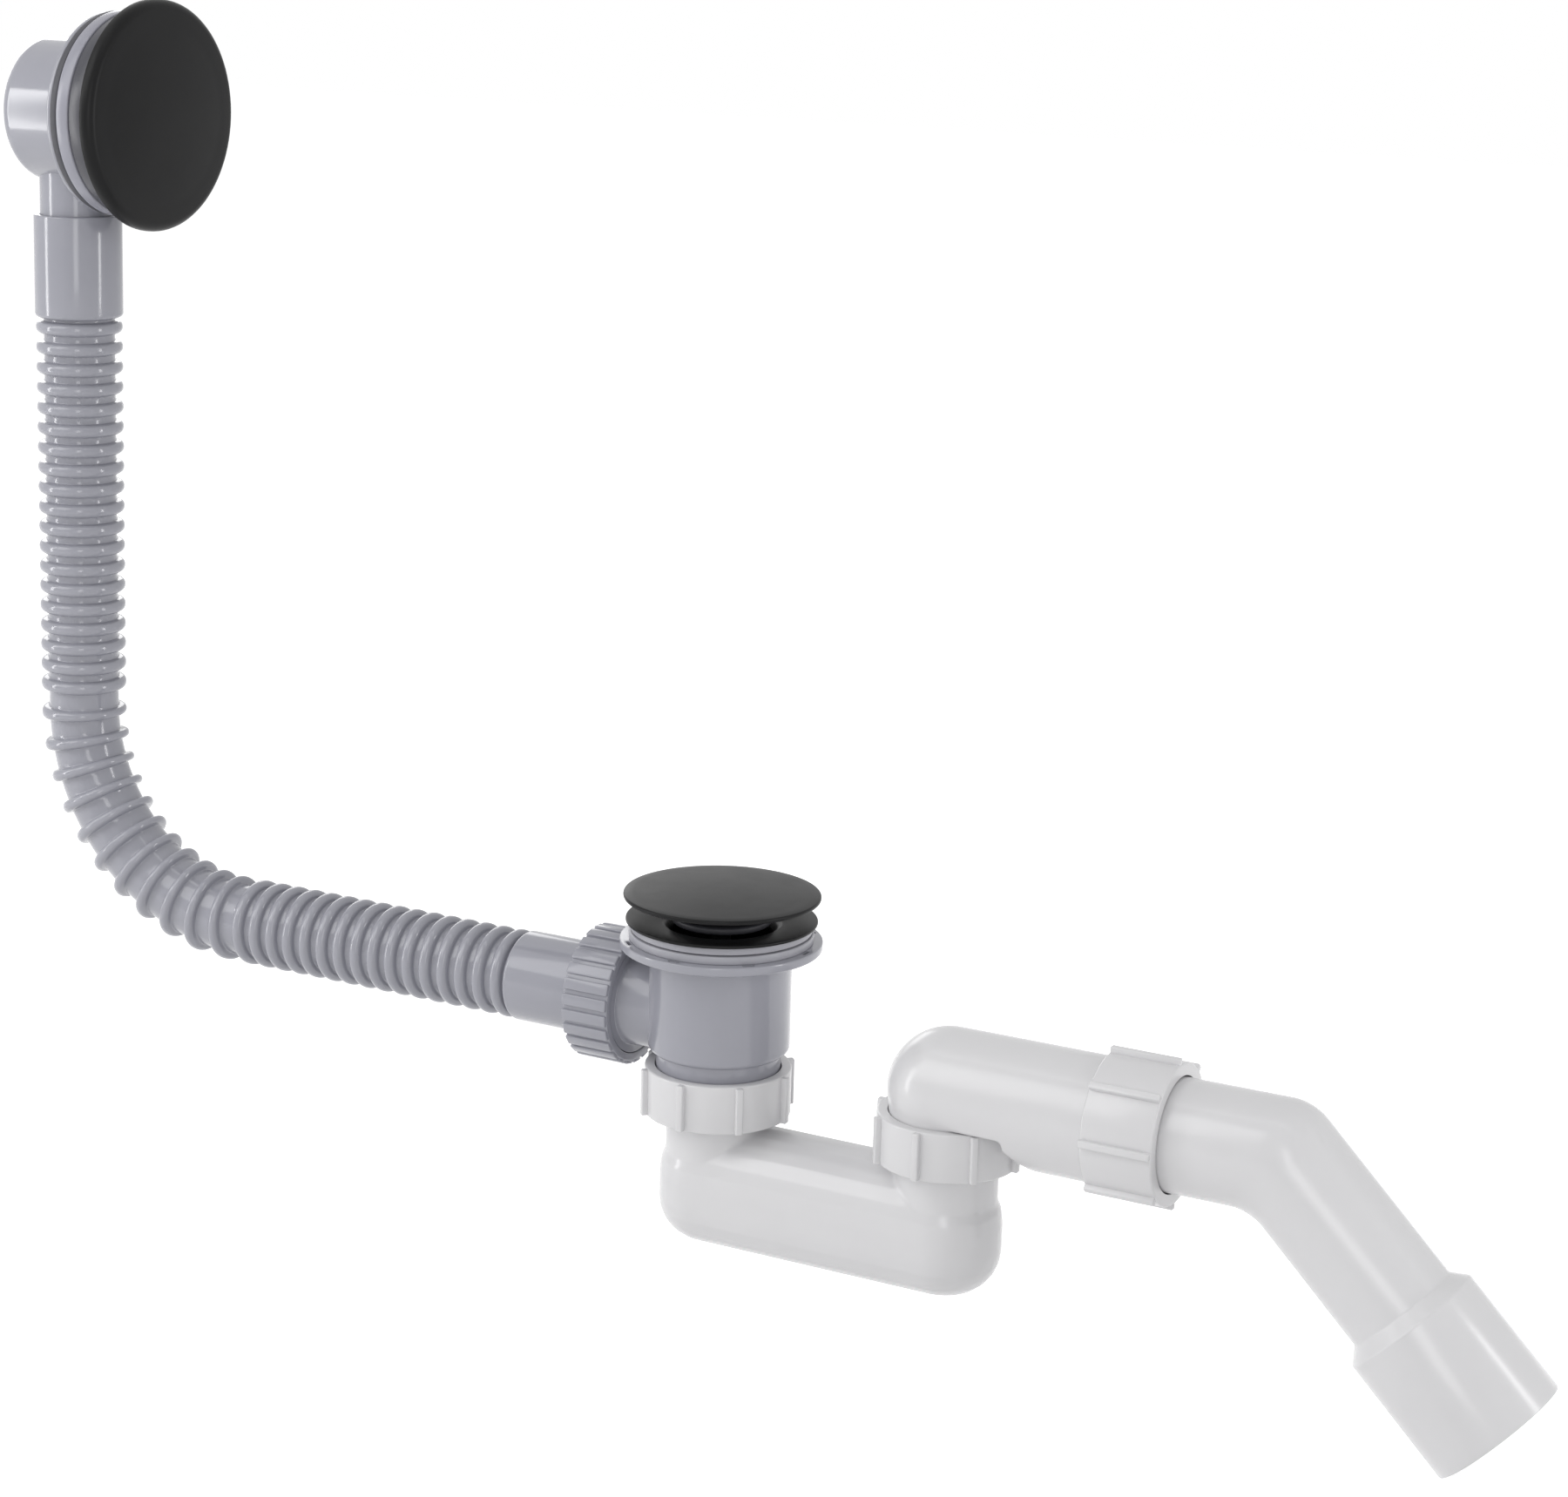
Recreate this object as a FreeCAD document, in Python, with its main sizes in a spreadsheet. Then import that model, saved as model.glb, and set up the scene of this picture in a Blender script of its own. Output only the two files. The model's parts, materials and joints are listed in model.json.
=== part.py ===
import FreeCAD, Part
import math
import os
import Sketcher

# Bath waste and overflow with a low trap and a 45 degree outlet, in millimetres.
# The origin lies on the upright axis of the waste, in the plane where the bath's floor is clamped.
# +Z is up, the overflow stands on the -X side and the trap runs out to the +X side.
# Every axis of the pipework lies in the plane Y = 0.

SIZES = {
    # black flange, gaskets and grey body of the waste
    "flange_rim_r": 35.1, "flange_rim_z": 3.3, "flange_rim_h": 1.2, "dish_mouth_r": 20.7,
    "dish_drop": 1.6, "throat_r": 18.7, "throat_drop": 4.0, "flange_tube_r": 21.5, "flange_tube_z": 20.0,
    "thread_gap": 0.3, "upper_gasket_r": 33.2, "lower_gasket_r": 33.8, "lower_gasket_h": 3.1,
    "throat_round": 6.0, "strainer_z": 12.0, "strainer_hub_r": 7.6, "spoke_w": 2.6, "spoke_count": 4,
    "spoke_turn": 45.0,
    "body_flange_r": 37.1, "body_rim_h": 3.1, "body_chamfer_r": 33.4, "body_chamfer_h": 1.5,
    "body_r": 26.1, "body_wall": 2.6, "body_low_z": 45.4, "body_round": 2.8,
    "neck_r": 23.0, "neck_wall": 3.4, "neck_end_z": 61.0,
    "slot_long": 4.4, "slot_wide": 0.8, "slot_deep": 1.0, "slot_count": 8, "slot_ring_gap": 0.5,
    # side arm, its knurled nut, whose ends are measured from the arm's end, and the corrugated hose
    "arm_z": 32.0, "arm_r": 17.6, "arm_root_r": 16.6, "arm_wall": 3.6, "arm_end_x": 44.0,
    "hose_nut_r": 25.0, "hose_nut_near_x": 10.0, "hose_nut_far_x": 9.0, "hose_nut_lip": 3.2,
    "ridge_count": 26, "ridge_deep": 1.2,
    "seal_h": 2.4, "face_gap": 0.3,
    "hose_r": 13.65, "hose_wall": 1.3, "cuff_r": 17.0, "cuff_low_x": 84.0, "collar_r": 20.6, "collar_h": 3.0,
    "rib_r": 16.7, "rib_crest": 3.2, "rib_pitch": 7.93, "bend_root": 4.6, "bend_crest": 1.8, "bend_ribs": 11,
    "bend_step": 8.63, "hose_bend_r": 77.0, "cuff_long": 40.0, "cuff_lap": 12.0,
    # overflow
    "overflow_x": 293.1, "overflow_z": 280.8, "cup_r": 27.6, "cup_wall": 2.6, "cup_back": 15.4,
    "cup_round": 5.0, "cup_flange_x": 19.1, "cup_flange_r": 38.6, "cup_flange_h": 2.0, "spigot_r": 14.5,
    "spigot_wall": 2.4, "spigot_reach": 52.0, "boss_r": 5.2, "screw_r": 2.5, "boss_front_x": 14.0,
    "wall_gasket_r": 39.0, "wall_gasket_h": 3.0, "front_ring_r": 39.3, "front_ring_h": 5.6,
    "front_web_h": 3.0, "carrier_r": 39.3, "carrier_back_r": 38.9, "carrier_h": 8.2, "ring_hole_r": 24.0,
    "carrier_wall": 2.6, "web_w": 7.0, "web_count": 3, "notch_w": 24.0, "notch_h": 6.0, "screw_head_r": 4.8,
    "screw_head_h": 2.8, "screw_top_r": 3.0, "screw_edge_h": 1.7, "screw_slot_w": 1.0, "screw_grip": 10.4,
    "cover_gap": 1.1, "cover_r": 44.1, "cover_rim_h": 5.2, "cover_crown": 2.4, "cover_wall": 1.8,
    "cover_hub_r": 7.0, "hub_r": 9.4,
    # click plug
    "cap_r": 36.1, "cap_low_z": 12.2, "cap_rim_h": 1.7, "cap_crown": 1.7, "cap_wall": 1.6,
    "plug_boss_r": 9.0, "plug_seal_r": 18.3, "plug_seal_low_z": 3.2, "plug_seal_h": 2.6,
    "retainer_r": 14.0, "retainer_h": 1.6, "stem_r": 3.5, "stem_gap": 0.05, "stem_low_z": 16.0,
    "cartridge_r": 5.6, "cartridge_head_r": 7.4, "cartridge_head_h": 3.6, "cartridge_low_z": 31.0,
    "cartridge_floor": 2.0, "spring_r": 2.6, "spring_wire_r": 0.35, "spring_turns": 5.5, "spring_gap": 0.1,
    "wire_sides": 6,
    # inlet nut, trap and riser nut
    "inlet_nut_r": 27.0, "nut_rib_h": 2.1, "nut_rib_w": 2.6, "nut_ribs": 8, "nut_top_z": 51.2,
    "nut_low_z": 69.2, "nut_floor": 3.0, "riser_nut_r": 25.7,
    "trap_r": 20.7, "trap_wall": 2.6, "trap_top_z": 73.0, "trap_low_z": 118.0, "trap_low_round": 16.0,
    "trap_top_round": 19.0, "trap_neck_r": 18.7, "trap_collar_h": 2.2, "trap_reach": 93.7,
    # elbow, outlet nut and outlet bend: the undercut is measured from the riser nut's ribs, the elbow's end
    # from the riser, the pipe's start from the socket's floor and the rest from the elbow's end
    "elbow_z": 43.1, "elbow_r": 22.3, "elbow_leg_r": 21.4, "elbow_wall": 2.0, "undercut_z": 54.8,
    "undercut_x": 1.0, "elbow_end_x": 78.3, "socket_x": 38.0, "tool_margin": 1.0,
    "outlet_nut_r": 25.2, "outlet_nut_near_x": 18.0, "outlet_nut_far_x": 8.4, "outlet_nut_floor": 3.2,
    "pipe_r": 20.1, "pipe_wall": 2.0, "pipe_start_x": 5.0, "outlet_turn": 45.0, "outlet_vertex_x": 46.0,
    "slant_long": 63.5, "cone_long": 5.0, "end_r": 25.0, "end_long": 45.6,
}


class Size:
    """A length in the sheet, or a sum of some: its value now and the formula that a feature is bound to."""

    def __init__(self, value, formula):
        self.value = value
        self.formula = formula

    def __add__(self, other):
        other = as_size(other)
        return Size(self.value + other.value, f"({self.formula} + {other.formula})")

    def __sub__(self, other):
        other = as_size(other)
        return Size(self.value - other.value, f"({self.formula} - {other.formula})")

    def __mul__(self, other):
        other = as_size(other)
        return Size(self.value * other.value, f"({self.formula} * {other.formula})")

    def __truediv__(self, other):
        other = as_size(other)
        return Size(self.value / other.value, f"({self.formula} / {other.formula})")

    def __neg__(self):
        return Size(-self.value, f"(0 - {self.formula})")

    def __rsub__(self, other):
        return as_size(other) - self

    __radd__ = __add__
    __rmul__ = __mul__


def as_size(number):
    return number if isinstance(number, Size) else Size(float(number), repr(float(number)))


def sine(angle):
    return Size(math.sin(math.radians(angle.value)), f"sin({angle.formula} * 1 deg)")


def cosine(angle):
    return Size(math.cos(math.radians(angle.value)), f"cos({angle.formula} * 1 deg)")


class Sheet:
    """The spreadsheet of driving sizes, read as sheet.word."""

    def __init__(self, document, sizes):
        cells = document.addObject("Spreadsheet::Sheet", "Sizes")
        for row, (word, number) in enumerate(sizes.items(), start=1):
            cells.set(f"A{row}", word)
            cells.set(f"B{row}", str(number))
            cells.setAlias(f"B{row}", word)
            setattr(self, word, Size(float(number), f"Sizes.{word}"))


doc = FreeCAD.newDocument("bath_waste")
s = Sheet(doc, SIZES)
doc.recompute()

UP = FreeCAD.Vector(0, 0, 1)
TURN_AXIS = FreeCAD.Vector(0, 1, 0)
FULL_TURN = 360
QUARTER_TURN = 90
EAST = QUARTER_TURN  # tilt of an axis that runs along +X


def place(obj, x=0, z=0, tilt=0):
    """Puts an object's own Z axis through (x, 0, z), tilted towards +X by so many degrees."""
    turned = FreeCAD.Rotation(TURN_AXIS, as_size(tilt).value)
    obj.Placement = FreeCAD.Placement(FreeCAD.Vector(0, 0, 0), turned)
    for axis, size in (("x", as_size(x)), ("z", as_size(z))):
        obj.setExpression(f"Placement.Base.{axis}", size.formula)
    if isinstance(tilt, Size):
        obj.setExpression("Placement.Rotation.Angle", f"{tilt.formula} * 1 deg")


def new_body(label):
    body = doc.addObject("PartDesign::Body", label)
    body.Label = label
    return body


def new_sketch(body, name, plane="XZ_Plane", shift_x=0, shift_y=0, lift=0):
    """A sketch on one of the body's own planes, its origin shifted in the plane and lifted off it."""
    sketch = body.newObject("Sketcher::SketchObject", f"{body.Name}_{name}")
    support = [item for item in body.Origin.OriginFeatures if item.Role == plane][0]
    sketch.AttachmentSupport = [(support, "")]
    sketch.MapMode = "FlatFace"
    for axis, size in (("x", shift_x), ("y", shift_y), ("z", lift)):
        sketch.setExpression(f"AttachmentOffset.Base.{axis}", as_size(size).formula)
    return sketch


def pin_point(sketch, edge, end, point):
    for kind, size in zip(("DistanceX", "DistanceY"), point):
        size = as_size(size)
        index = sketch.addConstraint(Sketcher.Constraint(kind, -1, 1, edge, end, size.value))
        sketch.setExpression(f"Constraints[{index}]", size.formula)


def arc_between(start, end, radius, side):
    """The arc of a radius from start to end, bulging to the left of the way for side +1, to the right for -1.
    A sketch's arcs run anticlockwise, so one that bulges to the left is drawn from its end."""
    chord = end - start
    normal = FreeCAD.Vector(-chord.y, chord.x, 0).normalize() * side
    sag = radius - math.sqrt(max(radius ** 2 - (chord.Length / 2) ** 2, 0))
    middle = (start + end) * 0.5 + normal * sag
    return Part.Arc(start, middle, end) if side < 0 else Part.Arc(end, middle, start)


def outline(sketch, points, arcs=None):
    """Closes a profile through points; arcs maps an edge's number to (radius, side), or (None, side) for half
    a circle."""
    arcs = arcs or {}
    spots = [FreeCAD.Vector(as_size(a).value, as_size(b).value, 0) for a, b in points]
    count = len(points)
    first = [1] * count
    for i in range(count):
        start, end = spots[i], spots[(i + 1) % count]
        if i in arcs:
            radius, side = arcs[i]
            reach = (end - start).Length / 2 if radius is None else as_size(radius).value
            sketch.addGeometry(arc_between(start, end, reach, side), False)
            first[i] = 1 if side < 0 else 2
        else:
            sketch.addGeometry(Part.LineSegment(start, end), False)
    for i in range(count):
        following = (i + 1) % count
        sketch.addConstraint(Sketcher.Constraint("Coincident", i, 3 - first[i], following, first[following]))
        pin_point(sketch, i, first[i], points[i])
    for i, (radius, side) in arcs.items():
        if radius is None:
            sketch.addConstraint(Sketcher.Constraint("Symmetric", i, 1, i, 2, i, 3))
            continue
        index = sketch.addConstraint(Sketcher.Constraint("Radius", i, as_size(radius).value))
        sketch.setExpression(f"Constraints[{index}]", as_size(radius).formula)


def circle(sketch, radius, x=0, y=0):
    radius = as_size(radius)
    spot = FreeCAD.Vector(as_size(x).value, as_size(y).value, 0)
    edge = sketch.addGeometry(Part.Circle(spot, UP, radius.value), False)
    pin_point(sketch, edge, 3, (x, y))
    index = sketch.addConstraint(Sketcher.Constraint("Radius", edge, radius.value))
    sketch.setExpression(f"Constraints[{index}]", radius.formula)


def turn(body, name, points, arcs=None, cut=False, around="V_Axis", shift_x=0, shift_y=0):
    """Turns a profile of (radius, height) points round an axis of its sketch, as a solid or as a cut."""
    sketch = new_sketch(body, f"{name}_profile", shift_x=shift_x, shift_y=shift_y)
    outline(sketch, points, arcs)
    kind = "PartDesign::Groove" if cut else "PartDesign::Revolution"
    feature = body.newObject(kind, f"{body.Name}_{name}")
    feature.Profile = sketch
    feature.ReferenceAxis = (sketch, [around])
    feature.Angle = FULL_TURN
    return feature


def ring_points(outer, inner, low, high):
    return [(inner, low), (outer, low), (outer, high), (inner, high)]


def ring(label, outer, inner, low, high, **where):
    """A plain flat ring between two heights on its own axis."""
    body = new_body(label)
    turn(body, "ring", ring_points(outer, inner, low, high))
    place(body, **where)
    return body


def block(body, name, x_low, x_high, y_low, y_high, z_low, height, cut=False):
    """A pad or a pocket on a rectangle in the body's XY plane, from z_low up by a height."""
    sketch = new_sketch(body, f"{name}_outline", plane="XY_Plane", lift=z_low)
    outline(sketch, [(x_low, y_low), (x_high, y_low), (x_high, y_high), (x_low, y_high)])
    feature = body.newObject("PartDesign::Pocket" if cut else "PartDesign::Pad", f"{body.Name}_{name}")
    feature.Profile = sketch
    feature.setExpression("Length", as_size(height).formula)
    if cut:
        feature.Reversed = True
    return feature


def copies_round(body, name, feature, count):
    """A polar pattern of a feature about the axis that its own sketch stands on."""
    pattern = body.newObject("PartDesign::PolarPattern", f"{body.Name}_{name}")
    pattern.Originals = [feature]
    pattern.Axis = (feature.Profile[0], ["N_Axis"])
    pattern.Angle = FULL_TURN
    pattern.setExpression("Occurrences", count.formula)
    body.Tip = pattern
    return pattern


def solid(kind, name, x=0, z=0, tilt=0, **sizes):
    """A Part primitive with its sizes bound to the sheet."""
    item = doc.addObject(f"Part::{kind}", name)
    for word, size in sizes.items():
        item.setExpression(word, as_size(size).formula)
    place(item, x, z, tilt)
    return item


def fuse(name, *items):
    item = doc.addObject("Part::MultiFuse", name)
    item.Shapes = list(items)
    return item


def cut(name, base, tool):
    item = doc.addObject("Part::Cut", name)
    item.Base = base
    item.Tool = tool
    item.Label = name
    return item


parts = []

# Places along X that more than one piece takes
hose_nut_start = s.arm_end_x - s.hose_nut_near_x
elbow_end = s.trap_reach + s.elbow_end_x
socket_start = elbow_end - s.socket_x


# The waste: grey body with its side arm, two gaskets and the black dished flange
def waste_body():
    body = new_body("waste_body")
    top = -s.lower_gasket_h
    rim_low = top - s.body_rim_h
    under = rim_low - s.body_chamfer_h
    low = -s.body_low_z
    turn(body, "shell", [
        (0, top), (s.body_flange_r, top), (s.body_flange_r, rim_low), (s.body_chamfer_r, under),
        (s.body_r, under), (s.body_r, low + s.body_round), (s.body_r - s.body_round, low),
        (s.neck_r, low), (s.neck_r, -s.neck_end_z), (0, -s.neck_end_z),
    ], arcs={5: (s.body_round, 1)})
    root_x = -s.body_r + s.body_wall + s.arm_wall
    thread_x = -hose_nut_start - s.face_gap
    turn(body, "arm", [
        (root_x, 0), (-s.arm_end_x, 0), (-s.arm_end_x, s.collar_r), (thread_x, s.collar_r),
        (thread_x, s.arm_r), (root_x, s.arm_root_r),
    ], around="H_Axis", shift_y=-s.arm_z)
    bore = s.flange_tube_r + s.thread_gap
    chamber = s.body_r - s.body_wall
    collar_low = -s.flange_tube_z
    turn(body, "chamber", [
        (0, top), (bore, top), (bore, collar_low), (chamber, collar_low - s.body_wall),
        (chamber, low + s.body_wall), (s.neck_r - s.neck_wall, low), (s.neck_r - s.neck_wall, -s.neck_end_z),
        (0, -s.neck_end_z),
    ], cut=True)
    arm_bore = s.arm_root_r - s.arm_wall
    turn(body, "arm_bore", [(0, 0), (-s.arm_end_x, 0), (-s.arm_end_x, arm_bore), (0, arm_bore)],
         cut=True, around="H_Axis", shift_y=-s.arm_z)
    inner = s.lower_gasket_r + s.slot_ring_gap
    slot = block(body, "slot", inner, inner + s.slot_wide, s.slot_long * -0.5, s.slot_long * 0.5,
                 top - s.slot_deep, s.slot_deep, cut=True)
    copies_round(body, "slots", slot, s.slot_count)
    place(body)
    return body


def flange_under(radius):
    """The height of the dished flange's underside at a radius."""
    slope = s.dish_drop / (s.flange_rim_r - s.flange_rim_h * 0.5 - s.flange_tube_r)
    return s.flange_rim_z - s.dish_drop + (radius - s.flange_tube_r) * slope


def waste_flange():
    body = new_body("waste_flange")
    rim_top = s.flange_rim_z + s.flange_rim_h
    dish_z = rim_top - s.dish_drop
    throat_z = dish_z - s.throat_drop
    lip = s.flange_rim_h * 0.5
    turn(body, "dish", [
        (s.throat_r, -s.flange_tube_z), (s.flange_tube_r, -s.flange_tube_z),
        (s.flange_tube_r, flange_under(s.flange_tube_r)),
        (s.flange_rim_r - lip, s.flange_rim_z), (s.flange_rim_r - lip, rim_top), (s.dish_mouth_r, dish_z),
        (s.throat_r, throat_z),
    ], arcs={3: (None, -1), 5: (s.throat_round, -1)})
    height = s.flange_tube_z - s.strainer_z
    spoke = block(body, "spoke", s.stem_r, s.flange_tube_r - s.thread_gap, s.spoke_w * -0.5, s.spoke_w * 0.5,
                  -s.flange_tube_z, height)
    spoke.Profile[0].setExpression("AttachmentOffset.Rotation.Angle", f"{s.spoke_turn.formula} * 1 deg")
    copies_round(body, "spokes", spoke, s.spoke_count)
    turn(body, "hub", ring_points(s.strainer_hub_r, s.stem_r, -s.flange_tube_z, -s.strainer_z))
    turn(body, "hub_bore", ring_points(s.cartridge_r, 0, -s.flange_tube_z, -s.strainer_z), cut=True)
    place(body)
    return body


parts.append(waste_body())
parts.append(waste_flange())
tube_hole_r = s.flange_tube_r + s.thread_gap
upper_gasket = new_body("upper_gasket")
turn(upper_gasket, "ring", [
    (tube_hole_r, 0), (s.upper_gasket_r, 0), (s.upper_gasket_r, flange_under(s.upper_gasket_r)),
    (tube_hole_r, flange_under(tube_hole_r)),
])
parts.append(upper_gasket)
parts.append(ring("lower_gasket", s.lower_gasket_r, tube_hole_r, -s.lower_gasket_h, 0))


# The click plug: domed cap, rubber seal, stem and the fixed cartridge that holds the stem and its spring
def plug_cap():
    body = new_body("plug_cap")
    low = s.cap_low_z
    rim_top = low + s.cap_rim_h
    crown_top = rim_top + s.cap_crown
    edge = s.cap_rim_h * 0.5
    face_r = s.cap_r - edge
    crown_r = (face_r * face_r + s.cap_crown * s.cap_crown) / (s.cap_crown * 2)
    under = low + s.cap_wall * 0.5
    seal_top = s.plug_seal_low_z + s.plug_seal_h
    turn(body, "disc", [
        (0, s.plug_seal_low_z), (s.plug_boss_r, s.plug_seal_low_z), (s.plug_boss_r, seal_top),
        (s.retainer_r, seal_top), (s.plug_boss_r + s.cap_wall, under), (face_r - s.cap_wall, under),
        (face_r - s.cap_wall, low), (face_r, low), (face_r, rim_top), (0, crown_top),
    ], arcs={7: (None, -1), 8: (crown_r, -1)})
    place(body)
    return body


def plug_stem():
    body = new_body("plug_stem")
    top = s.plug_seal_low_z
    shelf = top - s.retainer_h
    turn(body, "stem", [
        (0, top), (s.retainer_r, top), (s.retainer_r, top - s.retainer_h * 0.5),
        (s.stem_r + s.retainer_h, shelf), (s.stem_r, shelf - s.retainer_h), (s.stem_r, -s.stem_low_z),
        (0, -s.stem_low_z),
    ])
    place(body)
    return body


def plug_cartridge():
    body = new_body("plug_cartridge")
    bore = s.stem_r + s.stem_gap
    head_top = s.cartridge_head_h - s.strainer_z
    floor_top = s.cartridge_floor - s.cartridge_low_z
    turn(body, "barrel", [
        (0, -s.cartridge_low_z), (s.cartridge_r, -s.cartridge_low_z), (s.cartridge_r, -s.strainer_z),
        (s.cartridge_head_r, -s.strainer_z), (s.cartridge_head_r, head_top), (bore, head_top),
        (bore, floor_top), (0, floor_top),
    ])
    place(body)
    return body


def plug_spring():
    """A six-sided wire helix between the cartridge's floor and the stem's lower end, its ends lying flat."""
    low = s.cartridge_floor.value - s.cartridge_low_z.value + s.spring_wire_r.value + s.spring_gap.value
    high = -s.stem_low_z.value - s.spring_wire_r.value - s.spring_gap.value
    pitch = (high - low) / s.spring_turns.value
    helix = Part.makeHelix(pitch, high - low, s.spring_r.value)
    sides = int(s.wire_sides.value)
    corners = [2 * math.pi * corner / sides for corner in range(sides + 1)]
    section = Part.makePolygon([
        FreeCAD.Vector(s.spring_r.value + s.spring_wire_r.value * math.cos(turned), 0,
                       s.spring_wire_r.value * math.sin(turned)) for turned in corners])
    coil = Part.Wire(helix.Edges).makePipeShell([section], True, True)
    spring = doc.addObject("Part::Feature", "plug_spring")
    spring.Shape = coil
    spring.Label = "plug_spring"
    spring.Placement = FreeCAD.Placement(FreeCAD.Vector(0, 0, low), FreeCAD.Rotation())
    return spring


parts.append(plug_cap())
parts.append(ring("plug_seal", s.plug_seal_r, s.plug_boss_r, s.plug_seal_low_z,
                  s.plug_seal_low_z + s.plug_seal_h))
parts.append(plug_stem())
parts.append(plug_cartridge())
parts.append(plug_spring())


# The hose: one blow-moulded piece with smooth cuffs, a riser, a stretched bend and a lower run
def overflow_hose():
    body = new_body("overflow_hose")
    bore = s.hose_r - s.hose_wall
    bend_x = s.hose_bend_r - s.overflow_x
    bend_z = s.hose_bend_r - s.arm_z

    # the bend's tube is a ring section swept through a quarter turn
    section = new_sketch(body, "bend_section", plane="XY_Plane", shift_x=bend_x, lift=bend_z)
    circle(section, s.hose_r, x=-s.hose_bend_r)
    circle(section, bore, x=-s.hose_bend_r)
    bend = body.newObject("PartDesign::Revolution", "overflow_hose_bend")
    bend.Profile = section
    bend.ReferenceAxis = (section, ["V_Axis"])
    bend.Angle = QUARTER_TURN
    bend.Reversed = True

    # the bend is stretched, so its ribs are thin ridges that share the quarter turn evenly; their flanks run
    # on into the tube's wall, so that they cross its surface at an angle
    crest = s.bend_crest * 0.5
    inner = s.hose_r - s.hose_wall * 0.5
    foot = crest + (s.bend_root * 0.5 - crest) * ((s.rib_r - inner) / (s.rib_r - s.hose_r))
    ridge = [(inner, -foot), (s.rib_r, -crest), (s.rib_r, crest), (inner, foot)]
    spread = s.bend_step * (s.bend_ribs - 1)
    first = (QUARTER_TURN - spread) * 0.5
    reach = s.hose_bend_r
    outward = (-cosine(first), -sine(first))
    path = (-sine(first), cosine(first))
    sketch = new_sketch(body, "bend_rib_profile", shift_x=bend_x, shift_y=bend_z)
    outline(sketch, [(outward[0] * (reach + r) + path[0] * t, outward[1] * (reach + r) + path[1] * t)
                     for r, t in ridge])
    axis_ends = [(outward[0] * reach + path[0] * t, outward[1] * reach + path[1] * t) for t in (0, s.rib_r)]
    axis = sketch.addGeometry(Part.LineSegment(
        *[FreeCAD.Vector(spot[0].value, spot[1].value, 0) for spot in axis_ends]), True)
    for end, spot in zip((1, 2), axis_ends):
        pin_point(sketch, axis, end, spot)
    bend_rib = body.newObject("PartDesign::Revolution", "overflow_hose_bend_rib")
    bend_rib.Profile = sketch
    bend_rib.ReferenceAxis = (sketch, ["Axis0"])
    bend_rib.Angle = FULL_TURN
    pattern = body.newObject("PartDesign::PolarPattern", "overflow_hose_bend_ribs")
    pattern.Originals = [bend_rib]
    pattern.Axis = (sketch, ["N_Axis"])
    pattern.setExpression("Angle", spread.formula)
    pattern.setExpression("Occurrences", s.bend_ribs.formula)
    body.Tip = pattern

    def ribs_that_fit(room):
        """How many whole ribs a straight stretch of the hose has room for."""
        return as_size(int(room.value / s.rib_pitch.value))

    def corrugations(start, count):
        """The outline of a row of ribs from a start along the tube, as (radius, distance) points."""
        points = []
        for number in range(int(count.value)):
            low = start + s.rib_pitch * number
            middle = low + s.rib_pitch * 0.5
            half = s.rib_crest * 0.5
            points += [(s.hose_r, low), (s.rib_r, middle - half), (s.rib_r, middle + half)]
        return points + [(s.hose_r, start + s.rib_pitch * count)]

    # the riser runs up from the bend, through its ribs, to the cuff that takes the overflow's spigot
    spigot_end = s.overflow_z - s.spigot_reach
    cuff_top = spigot_end + s.cuff_lap
    cuff_low = cuff_top - s.cuff_long
    socket = s.spigot_r + s.thread_gap
    riser_ribs = ribs_that_fit(cuff_low - bend_z)
    turn(body, "riser", [(bore, bend_z), (s.hose_r, bend_z)] + corrugations(
        cuff_low - s.rib_pitch * riser_ribs, riser_ribs) + [
        (s.cuff_r, cuff_low), (s.cuff_r, cuff_top), (socket, cuff_top), (socket, spigot_end - s.face_gap),
        (bore, spigot_end - s.face_gap),
    ], shift_x=-s.overflow_x)

    # the run goes from the bend, through its ribs, to the cuff and the collar that the nut holds
    collar_x = -s.arm_end_x - s.seal_h
    run_ribs = ribs_that_fit(-s.cuff_low_x - bend_x)
    run = [(bore, bend_x), (s.hose_r, bend_x)] + corrugations(
        -s.cuff_low_x - s.rib_pitch * run_ribs, run_ribs) + [
        (s.cuff_r, -s.cuff_low_x), (s.cuff_r, collar_x - s.collar_h), (s.collar_r, collar_x - s.collar_h),
        (s.collar_r, collar_x), (bore, collar_x)]
    turn(body, "run", [(along, out) for out, along in run], around="H_Axis", shift_y=-s.arm_z)
    place(body)
    return body


parts.append(overflow_hose())


# Union nuts: a threaded sleeve with a floor that catches a collar, and ribs or ridges for the hand
def union_nut(label, radius, bore, hole, length, floor, **where):
    body = new_body(label)
    rim = s.thread_gap * 2
    turn(body, "sleeve", [
        (hole, 0), (radius - rim, 0), (radius, rim), (radius, length - rim), (radius - rim, length),
        (bore, length), (bore, floor), (hole, floor),
    ])
    rib = block(body, "rib", radius - s.nut_rib_h, radius + s.nut_rib_h, s.nut_rib_w * -0.5,
                s.nut_rib_w * 0.5, rim * 0.5, length - rim)
    copies_round(body, "ribs", rib, s.nut_ribs)
    place(body, **where)
    return body


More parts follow.
